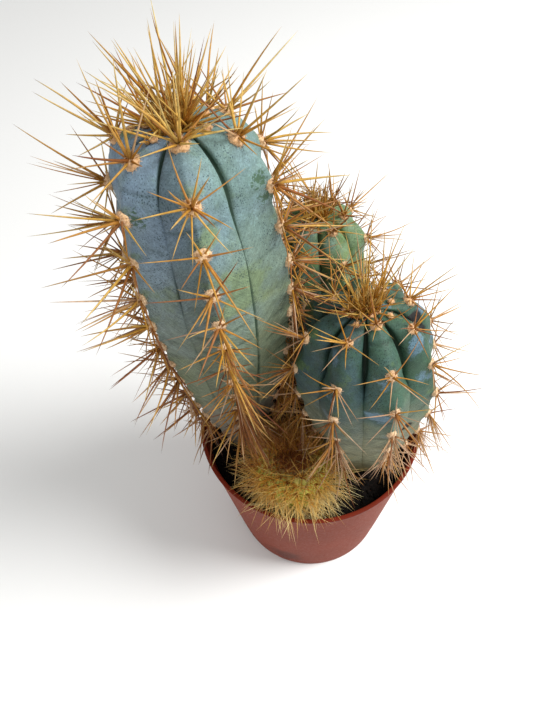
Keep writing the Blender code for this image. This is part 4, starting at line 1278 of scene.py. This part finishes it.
def crumb_tree():
    """Strews crumbs of peat over the upward faces of the soil."""
    tree, given = new_tree("Crumbs", Density=("Float", 0.6), Least=("Float", 0.4 * MM),
                           Most=("Float", 1.5 * MM), Seed=("Int", 5), Material=("Material", None))
    normal = add(tree, "GeometryNodeInputNormal")
    height = add(tree, "ShaderNodeSeparateXYZ", (normal,)).outputs["Z"]
    upward = add(tree, "ShaderNodeMath", (height, 0.4), operation="GREATER_THAN")
    dense = add(tree, "ShaderNodeMath", (given["Density"], PER_SQUARE_METRE), operation="MULTIPLY")
    spots = add(tree, "GeometryNodeDistributePointsOnFaces", {
        "Mesh": given["Geometry"], "Selection": upward, "Density": dense, "Seed": given["Seed"]})
    ball = add(tree, "GeometryNodeMeshIcoSphere", {"Radius": 1.0, "Subdivisions": 1})
    turn = add(tree, "FunctionNodeRandomValue", {
        0: (0.0, 0.0, 0.0), 1: (6.28, 6.28, 6.28), "Seed": given["Seed"]}, data_type="FLOAT_VECTOR")
    pick = add(tree, "FunctionNodeRandomValue", {2: 0.0, 3: 1.0, "Seed": given["Seed"]}, data_type="FLOAT")
    few = add(tree, "ShaderNodeMath", (pick.outputs[1], 3.0), operation="POWER")
    size = add(tree, "ShaderNodeMapRange", (few, 0.0, 1.0, given["Least"], given["Most"]))
    flat = add(tree, "ShaderNodeMath", (size, 0.6), operation="MULTIPLY")
    scale = add(tree, "ShaderNodeCombineXYZ", (size, flat, flat))
    strewn = add(tree, "GeometryNodeInstanceOnPoints", {
        "Points": spots, "Instance": ball, "Rotation": turn, "Scale": scale})
    joined = add(tree, "GeometryNodeJoinGeometry", (roughened(tree, strewn, 0.9, -0.3, 0.3),))
    fill(tree, joined, (given["Geometry"],))
    end_tree(tree, joined, given["Material"])
    return tree


def pot_tree():
    """Turns the wall's outline, given as a chain of points, into the pot, and cuts its drain holes."""
    tree, given = new_tree(
        "Turned pot", Sides=("Int", 160), Holes=("Int", 8), HoleRadius=("Float", 3.2 * MM),
        HoleRing=("Float", 24.0 * MM), Material=("Material", None))
    outline = given["Geometry"]
    count = add(tree, "GeometryNodeAttributeDomainSize", {"Geometry": outline}, component="MESH")
    around = add(tree, "ShaderNodeMath", (given["Sides"], 1.0), operation="ADD")
    grid = add(tree, "GeometryNodeMeshGrid", {
        "Size X": 1.0, "Size Y": 1.0, "Vertices X": around, "Vertices Y": count})
    # Each column of the grid takes the outline, turned by its share of the way round
    index = add(tree, "GeometryNodeInputIndex")
    step = add(tree, "ShaderNodeMath", (index, count), operation="MODULO")
    column = add(tree, "ShaderNodeMath", (index, count), operation="DIVIDE")
    column = add(tree, "ShaderNodeMath", (column,), operation="FLOOR")
    share = add(tree, "ShaderNodeMath", (column, given["Sides"]), operation="DIVIDE")
    angle = add(tree, "ShaderNodeMath", (share, FULL_TURN), operation="MULTIPLY")
    place = add(tree, "GeometryNodeInputPosition")
    read = add(tree, "GeometryNodeSampleIndex", {
        "Geometry": outline, "Value": place, "Index": step}, data_type="FLOAT_VECTOR")
    part = add(tree, "ShaderNodeSeparateXYZ", (read,)).outputs
    x, y = (
        add(tree, "ShaderNodeMath", (part["X"], add(tree, "ShaderNodeMath", (angle,), operation=wave)),
            operation="MULTIPLY")
        for wave in ("COSINE", "SINE"))
    turned = add(tree, "ShaderNodeCombineXYZ", (x, y, part["Z"]))
    wall = add(tree, "GeometryNodeSetPosition", {"Geometry": grid, "Position": turned})
    closed = add(tree, "GeometryNodeMergeByDistance", {"Geometry": wall, "Distance": 0.02 * MM})
    # The drain holes stand on a ring, turned half a step
    ring = add(tree, "GeometryNodeMeshCircle", {"Vertices": given["Holes"], "Radius": given["HoleRing"]})
    half = add(tree, "ShaderNodeMath", (math.pi, given["Holes"]), operation="DIVIDE")
    spin = add(tree, "ShaderNodeCombineXYZ", {"Z": half})
    turned_ring = add(tree, "GeometryNodeTransform", {"Geometry": ring, "Rotation": spin})
    drill = add(tree, "GeometryNodeMeshCylinder", {
        "Vertices": 40, "Radius": given["HoleRadius"], "Depth": 20.0 * MM})
    drills = add(tree, "GeometryNodeInstanceOnPoints", {"Points": turned_ring, "Instance": drill})
    cutters = add(tree, "GeometryNodeRealizeInstances", (drills,))
    cut = add(tree, "GeometryNodeMeshBoolean", {"Mesh 1": closed, "Mesh 2": cutters}, operation="DIFFERENCE")
    end_tree(tree, cut, given["Material"])
    return tree


# Pieces

UNDERSIDE = 0.5        # how far the underside stands above the foot's ring, millimetres
FOOT_RING = 6.0        # width of that ring
FOOT_EDGE = 1.5        # radius of the pot's foot edge
RIM_EDGE = 0.35        # radius of the rim's edges
WALL_OUTSIDE = (0.2, 0.4, 0.6, 0.8, 0.92)   # shares of the way up and down the wall where it has points
WALL_INSIDE = (0.97, 0.9, 0.7, 0.45, 0.2)
SHARP_EDGE = 50.0      # edges that turn by more degrees stay sharp


def arc(middle, radius, start, end, steps):
    """Points of a round stretch of an outline, angles in degrees."""
    turns = [math.radians(start + (end - start) * k / steps) for k in range(steps + 1)]
    return [(middle[0] + radius * math.cos(t), middle[1] + radius * math.sin(t)) for t in turns]


def pot_outline(settings):
    """Outline of the pot's wall, from the middle of its underside round the rim to the middle of its
    floor."""
    rim, foot, height = settings.rim_radius, settings.foot_radius, settings.height
    wall, floor, lip, lip_height = settings.wall, settings.floor, settings.lip, settings.lip_height
    edge, soft, recess = FOOT_EDGE * MM, RIM_EDGE * MM, UNDERSIDE * MM
    slope = (rim - lip - foot) / height
    outline = [(0.0, recess), (foot - FOOT_RING * MM, recess), (foot - (FOOT_RING - 0.6) * MM, 0.0)]
    outline += arc((foot - edge, edge), edge, -90.0, 0.0, 6)
    for share in WALL_OUTSIDE:
        at = edge + (height - lip_height - edge) * share
        outline.append((foot + slope * at, at))
    low = height - lip_height
    out = foot + slope * low
    outline += [(out, low), (out + lip * 0.7, low + 0.25 * MM), (out + lip, low + 0.7 * MM)]
    outline += arc((rim - soft, height - soft), soft, 0.0, 90.0, 4)
    outline += arc((rim - wall - lip * 0.5 + soft, height - soft), soft, 90.0, 180.0, 4)
    for share in WALL_INSIDE:
        at = floor + (height - floor) * share
        outline.append((foot + slope * at - wall, at))
    outline += arc((foot - wall - edge, floor + edge), edge, 0.0, -90.0, 5)
    outline.append((0.0, floor))
    return outline


def make_pot(settings):
    """The finished nursery pot."""
    outline = pot_outline(settings)
    mesh = bpy.data.meshes.new("outline")
    mesh.from_pydata([(r, 0.0, z) for r, z in outline], [(i, i + 1) for i in range(len(outline) - 1)], [])
    plastic = polypropylene_material("Moulded terracotta polypropylene", "7D3622", "6C2617")
    piece = run_tree(
        "nursery_pot", mesh, pot_tree(), Sides=settings.sides, Holes=settings.holes,
        HoleRadius=settings.hole_radius, HoleRing=settings.hole_ring, Material=plastic)
    shape = bmesh.new()
    shape.from_mesh(piece.data)
    bmesh.ops.recalc_face_normals(shape, faces=shape.faces)
    shape.to_mesh(piece.data)
    shape.free()
    piece.data.set_sharp_from_angle(angle=math.radians(SHARP_EDGE))
    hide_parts("pot")


SOIL_SIDES = 180       # faces round and rings across the soil
SOIL_RINGS = 60
SOIL_GAP = 0.1         # between the soil and the wall, and between it and the floor, millimetres
FLOOR_GAP = 0.3
SETTLED = 0.8          # how far the soil has sunk by the wall, millimetres
SOIL_TAPER = 0.96      # how much narrower than the wall its foot is


def soil_height(x, y):
    """Height of the soil's surface over its level, in millimetres."""
    wave = np.sin(x / 5.1) * np.cos(y / 4.3) + 0.6 * np.sin((x + y) / 2.7)
    fine = 0.5 * np.sin(x / 1.3 + 1.7 * np.sin(y / 2.1)) * np.sin(y / 1.1 + 1.3 * np.sin(x / 1.9))
    return 0.45 * wave + 0.4 * fine


def make_soil(settings, pot):
    """The finished soil: a closed body with a crumbly top."""
    level, bottom = settings.level, pot.floor + FLOOR_GAP * MM
    slope = (pot.rim_radius - pot.lip - pot.foot_radius) / pot.height
    wide, narrow = (pot.foot_radius + slope * at - pot.wall - SOIL_GAP * MM for at in (level, bottom))
    turns = np.arange(SOIL_SIDES) * 2.0 * math.pi / SOIL_SIDES
    shares = np.linspace(1.0 / SOIL_RINGS, 1.0, SOIL_RINGS)
    x = np.outer(shares * wide, np.cos(turns))
    y = np.outer(shares * wide, np.sin(turns))
    settled = ease((shares - 0.9) / 0.1)[:, None] * SETTLED * MM
    top = np.stack([x, y, level + soil_height(x / MM, y / MM) * MM - settled], -1)
    foot = np.stack([narrow * np.cos(turns), narrow * np.sin(turns), np.full(SOIL_SIDES, bottom)], -1)
    foot[:, :2] *= SOIL_TAPER
    loops = np.concatenate([top, foot[None]])
    vertices = np.concatenate([loops.reshape(-1, 3), [[0.0, 0.0, level], [0.0, 0.0, bottom]]])
    # The rings run outwards here, so the faces are turned over
    faces = [(a, d, c, b) for a, b, c, d in ring_faces(len(loops), SOIL_SIDES)]
    middle, under, last = len(vertices) - 2, len(vertices) - 1, (len(loops) - 1) * SOIL_SIDES
    for k in range(SOIL_SIDES):
        after = (k + 1) % SOIL_SIDES
        faces += [(middle, k, after), (under, last + after, last + k)]
    mesh = bpy.data.meshes.new("soil bed")
    mesh.from_pydata(vertices.tolist(), [], faces)
    peat = peat_material("Moist peat potting mix", "070504", "20160F")
    piece = run_tree(
        "potting_soil", mesh, crumb_tree(), Density=settings.crumbs, Least=settings.crumb_least,
        Most=settings.crumb_most, Seed=settings.seed, Material=peat)
    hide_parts("soil")


def make_stem_skin(plant, settings, name, colours):
    """A torch stem's finished skin."""
    mesh = build_skin(plant, settings.columns, settings.rows, settings.seed)
    mesh.materials.append(waxy_skin_material(name, colours, settings.bloom_cover))
    piece = new_piece(plant.node.replace("_torch_stem", "_stem_skin"), mesh)
    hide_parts(plant.node)


FELT_SUNK = 0.45       # how far a felt cushion is sunk into the skin, millimetres
FELT_WORN = 0.3        # share of its felt that the lowest areole has lost
GOLDEN_UNTIL = 0.3     # share of the way from the growing tip to the soil over which felt is golden
FELT_HAIRS = 4.0       # hairs to a square millimetre


def make_stem_felt(plant, growth, felt, tree, seed):
    """The felt cushions of a torch stem's areoles."""
    areoles = areoles_of(plant)
    mesh = points_mesh(
        "areoles", [a.place - a.outward * FELT_SUNK * MM for a in areoles], way=[a.outward for a in areoles],
        size=[a.size * (1.0 - FELT_WORN * a.low) for a in areoles],
        golden=[max(a.young, 1.0 - a.low / GOLDEN_UNTIL) for a in areoles])
    piece = run_tree(
        plant.node.replace("_torch_stem", "_areole_felt"), mesh, tree,
        Size=growth.pad * MM, Hairs=FELT_HAIRS, Seed=seed, Material=felt)
    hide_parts(plant.node)


def make_stem_spines(plant, growth, tree, material, search, seed):
    """The spines of a torch stem."""
    needles = stem_needles(plant, growth, search, seed)
    piece = run_tree(
        plant.node.replace("_torch_stem", "_stem_spines"), needles.mesh("roots"), tree,
        Sides=5, Rings=6, Material=material)
    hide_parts(plant.node)


BRISTLES_FROM = 1.0    # first areole from the growing tip, and how much lower on the next ribs, millimetres
BRISTLES_STAGGER = 1.1
CENTRAL_SHARE = 0.25   # share of the ball's bristles that stand out, the rest lie round them
CENTRAL_TILT = (0.0, 35.0)
RADIAL_TILT = (50.0, 84.0)
CROWN_UNTIL = 0.14     # share of the way from the growing tip to the soil that the crown takes, and its edge
CROWN_EDGE = 0.2
LIT_SIDE = 320.0       # the bristles on the side turned away from this angle are painted browner and less pale, as shade
BACK_LEAN = np.array((0.0, 0.6, 0.8))   # which way the long brown spines behind the crown lean
BACK_SHARE = 0.8
BACK_LENGTH = (9.0, 17.0)
CURLED_LENGTH = (3.0, 6.0)
CURLED_TONE = 0.62     # tone of the curled spines, of the ones that lean back and of their outermost
BACK_TONE = 0.5
OUTER_TONE = 0.34
FADED_FROM = 0.38      # share of the way from the growing tip to the soil from where bristles are faded
LONGER_SHARE = 0.06    # share of bristles that are longer than the rest, and how much longer
LONGER = 1.4


def ball_bristles(settings, search):
    """Bristles of the ball cactus: stars of fine stiff bristles on close areoles along each rib."""
    needles = Needles(search, settings.seed)
    draw = needles.draw
    for rib, crest in enumerate(BALL.ribs):
        ups, run = rib_line(BALL, crest)
        # Painted shade: on the side turned away from the light the bristles are browner and less pale
        shady = 0.5 - 0.5 * math.cos(math.radians(crest - LIT_SIDE))
        at = BRISTLES_FROM + BRISTLES_STAGGER * (rib % 3)
        while at < run[-1] - 0.5:
            up = float(np.interp(at, run, ups))
            low = at / run[-1]
            outward, upward = outward_upward(BALL, crest, up)
            place = skin(BALL, crest, up)
            crown = 1.0 - ease((low - CROWN_UNTIL) / CROWN_EDGE)
            for _ in range(settings.bristles):
                central = draw.random() < CENTRAL_SHARE
                tilt = math.radians(draw.uniform(*(CENTRAL_TILT if central else RADIAL_TILT)))
                way = tilted(outward, upward, tilt, draw.uniform(0.0, FULL_TURN))
                way = way - upward * 0.9 * ease(low / 0.7) * (1.0 - crown)
                length = draw.uniform(*settings.bristle_length) * (0.62 + 0.5 * ease(low / 0.6))
                tone = 0.22 + 0.18 * shady - 0.22 * ease(low / 0.7) + 0.3 * central * draw.random()
                bend = draw.choice((0.04, 0.1, 0.16))
                if draw.random() < crown:
                    # Curled red brown spines in the crown, and long golden brown ones behind that lean back
                    behind = math.sin(math.radians(crest)) > -0.2 and low > 0.06
                    back = behind and draw.random() < BACK_SHARE
                    way = way + BACK_LEAN * back
                    length = draw.uniform(*(BACK_LENGTH if back else CURLED_LENGTH)) * MM
                    tone = (BACK_TONE if low < 0.2 else OUTER_TONE) if back else CURLED_TONE
                    bend = draw.uniform(0.1, 0.5)
                way = unit(way)
                if draw.random() < LONGER_SHARE:
                    length *= LONGER
                length = min(length, needles.clear(place, way, length, 0.4))
                faded = ease((low - FADED_FROM) / 0.3) * (1.0 - 0.5 * shady)
                pale = (1.0 - crown) * faded * draw.uniform(0.1, 1.0)
                needles.add(place - outward * 0.2 * MM, way, length, settings.bristle_girth / MM,
                            bend, tone, pale)
            at += settings.areole_step / MM
    return needles


def make_ball(settings, search, needle, material):
    """The ball cactus: its ribbed flesh and its coat of bristles."""
    mesh = build_skin(BALL, settings.columns, settings.rows, settings.seed)
    mesh.materials.append(ball_skin_material("Ball cactus epidermis", "D4D25C", "BEC24A", "6E3018"))
    flesh = new_piece("golden_ball_skin", mesh)
    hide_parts(BALL.node)
    piece = run_tree(
        "golden_ball_bristles", ball_bristles(settings, search).mesh("bristle roots"), needle,
        Sides=4, Rings=4, Material=material)
    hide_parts(BALL.node)


LIGHTS_AIM = (0.0, 0.0, 0.12)      # metres, as are the lights' places and sizes
KEY_PLACE, KEY_SIZE = (0.58, -0.1, 0.78), 0.42
FILL_PLACE, FILL_SIZE = (-0.1, -0.75, 0.8), 0.7


def make_stage(settings):
    """Pale floor, soft studio light from the upper right, and the camera."""
    shape = bmesh.new()
    bmesh.ops.create_circle(shape, cap_ends=True, segments=96, radius=settings.floor_radius)
    mesh = bpy.data.meshes.new("floor")
    shape.to_mesh(mesh)
    shape.free()
    paper, tree, shader = new_material("Matt white paper")
    fill(tree, shader, {"Base Color": settings.floor_colour[:], "Roughness": 0.9})
    mesh.materials.append(paper)
    floor = bpy.data.objects.new("floor", mesh)
    bpy.context.scene.collection.objects.link(floor)
    for name, place, size, power in (
            ("key light", KEY_PLACE, KEY_SIZE, settings.key_power),
            ("fill light", FILL_PLACE, FILL_SIZE, settings.fill_power)):
        lamp = bpy.data.lights.new(name, "AREA")
        lamp.shape = "DISK"
        lamp.size = size
        lamp.energy = power
        stood = bpy.data.objects.new(name, lamp)
        stood.location = place
        aim = Vector(LIGHTS_AIM) - Vector(place)
        stood.rotation_euler = aim.to_track_quat("-Z", "Y").to_euler()
        bpy.context.scene.collection.objects.link(stood)
    world = bpy.data.worlds.new("studio")
    world.use_nodes = True
    fill(world.node_tree, world.node_tree.nodes["Background"], {
        "Color": (1.0, 1.0, 1.0, 1.0), "Strength": settings.room_light})
    bpy.context.scene.world = world
    bpy.context.scene.view_settings.view_transform = "Standard"
    lens = bpy.data.cameras.new("camera")
    lens.sensor_width = SENSOR
    lens.lens = FOCAL_PX * SENSOR / FRAME_HEIGHT_PX
    lens.clip_start = 0.01
    camera = bpy.data.objects.new("camera", lens)
    camera.location = Vector(CAMERA_PLACE) * MM
    camera.rotation_mode = "QUATERNION"
    roll = Quaternion((0.0, 0.0, 1.0), math.radians(CAMERA_ROLL))
    camera.rotation_quaternion = Vector(CAMERA_AIM).to_track_quat("-Z", "Y") @ roll
    bpy.context.scene.collection.objects.link(camera)
    bpy.context.scene.camera = camera


# Settings that a user can change

def length_setting(label, text, default):
    """A length in metres."""
    return bpy.props.FloatProperty(name=label, description=text, default=default, unit="LENGTH", precision=4)


def whole_setting(label, text, default, least=0):
    """A whole number."""
    return bpy.props.IntProperty(name=label, description=text, default=default, min=least)


def number_setting(label, text, default):
    """A plain number."""
    return bpy.props.FloatProperty(name=label, description=text, default=default)


class PotSettings(bpy.types.PropertyGroup):
    """Sizes of the nursery pot."""
    rim_radius: length_setting("Rim radius", "Outer radius at the rim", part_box("pot")[1].x)
    height: length_setting("Height", "From the foot to the rim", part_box("pot")[1].z)
    foot_radius: length_setting("Foot radius", "Outer radius at the foot", 34.0 * MM)
    wall: length_setting("Wall", "Thickness of the wall", 1.2 * MM)
    floor: length_setting("Floor", "Thickness of the floor", 2.0 * MM)
    lip: length_setting("Lip", "How far the rim stands out", 0.6 * MM)
    lip_height: length_setting("Lip height", "Height of the band under the rim", 3.0 * MM)
    hole_radius: length_setting("Hole radius", "Radius of a drain hole", 3.2 * MM)
    hole_ring: length_setting("Hole ring", "Radius of the ring of drain holes", 24.0 * MM)
    holes: whole_setting("Holes", "Number of drain holes", 8, 3)
    sides: whole_setting("Sides", "Faces round the pot", 160, 24)


class SoilSettings(bpy.types.PropertyGroup):
    """The potting mix."""
    level: length_setting("Level", "Height of the soil's surface", SOIL_LEVEL * MM)
    crumbs: number_setting("Crumbs", "Crumbs to a square millimetre", 0.3)
    crumb_least: length_setting("Smallest crumb", "Radius of the smallest crumb", 0.45 * MM)
    crumb_most: length_setting("Largest crumb", "Radius of the largest crumb", 1.9 * MM)
    seed: whole_setting("Seed", "Seed of the crumbs", 5)


class StemSettings(bpy.types.PropertyGroup):
    """A torch stem's fineness and bloom."""
    columns: whole_setting("Columns", "Faces round the stem", 216, 48)
    rows: whole_setting("Rows", "Faces up the stem", 200, 24)
    bloom_cover: bpy.props.FloatProperty(
        name="Bloom", description="Share of the skin that the wax bloom covers", default=0.5,
        min=0.0, max=1.0, subtype="FACTOR")
    seed: whole_setting("Seed", "Seed of the relief and the spines", 21)


class BallSettings(bpy.types.PropertyGroup):
    """The ball cactus."""
    columns: whole_setting("Columns", "Faces round the ball", 240, 60)
    rows: whole_setting("Rows", "Faces up the ball", 70, 16)
    areole_step: length_setting("Areole step", "From one areole to the next", 3.2 * MM)
    bristles: whole_setting("Bristles", "Bristles on an areole", 14, 1)
    bristle_girth: length_setting("Bristle radius", "Radius of a bristle at its root", 0.14 * MM)
    bristle_length: bpy.props.FloatVectorProperty(
        name="Bristle length", description="Shortest and longest bristle", size=2, unit="LENGTH", precision=4,
        default=(8.0 * MM, 15.0 * MM))
    seed: whole_setting("Seed", "Seed of the bristles", 34)


class StageSettings(bpy.types.PropertyGroup):
    """Floor and light."""
    floor_radius: length_setting("Floor radius", "Radius of the floor", 4.0)
    floor_colour: bpy.props.FloatVectorProperty(
        name="Floor colour", description="Colour of the floor", size=4, subtype="COLOR",
        default=hex_colour("F4F4F2"), min=0.0, max=1.0)
    key_power: number_setting("Key light", "Power, upper right", 10.0)
    fill_power: number_setting("Fill light", "Power, front", 0.8)
    room_light: number_setting("Room light", "Light from all round", 0.58)


class CactusSettings(bpy.types.PropertyGroup):
    """All settings of the potted cactus."""
    pot: bpy.props.PointerProperty(type=PotSettings)
    soil: bpy.props.PointerProperty(type=SoilSettings)
    main_stem: bpy.props.PointerProperty(type=StemSettings)
    right_stem: bpy.props.PointerProperty(type=StemSettings)
    back_stem: bpy.props.PointerProperty(type=StemSettings)
    ball: bpy.props.PointerProperty(type=BallSettings)
    stage: bpy.props.PointerProperty(type=StageSettings)


# Operators

def stems(settings):
    """Each torch stem's form, growth and settings, and the name and colours of its skin."""
    return (
        (MAIN, MAIN_GROWTH, settings.main_stem, "Pale blue waxy epidermis", MAIN_COLOURS),
        (RIGHT, RIGHT_GROWTH, settings.right_stem, "Blue green waxy epidermis", RIGHT_COLOURS),
        (BACK, BACK_GROWTH, settings.back_stem, "Green waxy epidermis", BACK_COLOURS),
    )


class CACTUS_OT_pot(bpy.types.Operator):
    """Turn and drill the nursery pot"""
    bl_idname = "cactus.pot"
    bl_label = "Pot"

    def execute(self, context):
        make_pot(context.scene.cactus.pot)
        return {"FINISHED"}


class CACTUS_OT_soil(bpy.types.Operator):
    """Fill the pot with crumbly peat"""
    bl_idname = "cactus.soil"
    bl_label = "Soil"

    def execute(self, context):
        make_soil(context.scene.cactus.soil, context.scene.cactus.pot)
        return {"FINISHED"}


class CACTUS_OT_stem_skins(bpy.types.Operator):
    """Grow the skins of the three torch stems"""
    bl_idname = "cactus.stem_skins"
    bl_label = "Torch stem skins"

    def execute(self, context):
        for plant, _, settings, name, colours in stems(context.scene.cactus):
            make_stem_skin(plant, settings, name, colours)
        return {"FINISHED"}


class CACTUS_OT_felt(bpy.types.Operator):
    """Set the felt cushions on the torch stems' ribs"""
    bl_idname = "cactus.felt"
    bl_label = "Areole felt"

    def execute(self, context):
        felt = felt_material("Areole felt", "F0D0A6", "B88C62", "C88A3C")
        tree = felt_tree()
        for plant, growth, settings, _, _ in stems(context.scene.cactus):
            make_stem_felt(plant, growth, felt, tree, settings.seed)
        return {"FINISHED"}


class CACTUS_OT_spines(bpy.types.Operator):
    """Grow the spines of the torch stems"""
    bl_idname = "cactus.spines"
    bl_label = "Torch stem spines"

    def execute(self, context):
        material = spine_material("Horny torch cactus spine", "BFA083")
        tree = needle_tree()
        search = obstacles()
        for plant, growth, settings, _, _ in stems(context.scene.cactus):
            make_stem_spines(plant, growth, tree, material, search, settings.seed)
        return {"FINISHED"}


class CACTUS_OT_ball(bpy.types.Operator):
    """Grow the ball cactus and its bristles"""
    bl_idname = "cactus.ball"
    bl_label = "Ball cactus"

    def execute(self, context):
        # Its colours are painted lighter by 1.17, as light into the stems' shade
        material = spine_material("Fine golden bristle", "E6DAA4", 1.17)
        make_ball(context.scene.cactus.ball, obstacles(), needle_tree(), material)
        return {"FINISHED"}


class CACTUS_OT_stage(bpy.types.Operator):
    """Set the floor, the light and the camera"""
    bl_idname = "cactus.stage"
    bl_label = "Stage"

    def execute(self, context):
        make_stage(context.scene.cactus.stage)
        return {"FINISHED"}


OPERATORS = (
    CACTUS_OT_pot, CACTUS_OT_soil, CACTUS_OT_stem_skins, CACTUS_OT_felt, CACTUS_OT_spines,
    CACTUS_OT_ball, CACTUS_OT_stage,
)


class CACTUS_PT_panel(bpy.types.Panel):
    """Lists the settings and the steps that build the potted cactus"""
    bl_label = "Potted blue torch cactus"
    bl_space_type = "VIEW_3D"
    bl_region_type = "UI"
    bl_category = "Cactus"

    def draw(self, context):
        for group in ("pot", "soil", "main_stem", "right_stem", "back_stem", "ball", "stage"):
            settings = getattr(context.scene.cactus, group)
            box = self.layout.box()
            box.label(text=group.replace("_", " ").capitalize())
            for name in settings.__annotations__:
                box.prop(settings, name)
        for operator in OPERATORS:
            self.layout.operator(operator.bl_idname)


CLASSES = (
    PotSettings, SoilSettings, StemSettings, BallSettings, StageSettings, CactusSettings,
    *OPERATORS, CACTUS_PT_panel,
)


def register():
    """Makes the settings, the operators and the panel known."""
    for item in CLASSES:
        bpy.utils.register_class(item)
    bpy.types.Scene.cactus = bpy.props.PointerProperty(type=CactusSettings)


def unregister():
    """Takes the settings, the operators and the panel away again."""
    del bpy.types.Scene.cactus
    for item in reversed(CLASSES):
        bpy.utils.unregister_class(item)


def main():
    """Builds every piece."""
    register()
    settings = bpy.context.scene.cactus
    for stem, columns, rows, bloom_cover, seed in (
            (settings.main_stem, 320, 260, 0.75, 21), (settings.right_stem, 280, 180, 0.35, 22),
            (settings.back_stem, 196, 150, 0.3, 23)):
        stem.columns, stem.rows, stem.bloom_cover, stem.seed = columns, rows, bloom_cover, seed
    bpy.ops.cactus.pot()
    bpy.ops.cactus.soil()
    bpy.ops.cactus.stem_skins()
    bpy.ops.cactus.felt()
    bpy.ops.cactus.spines()
    bpy.ops.cactus.ball()
    bpy.ops.cactus.stage()


if __name__ == "__main__":
    main()
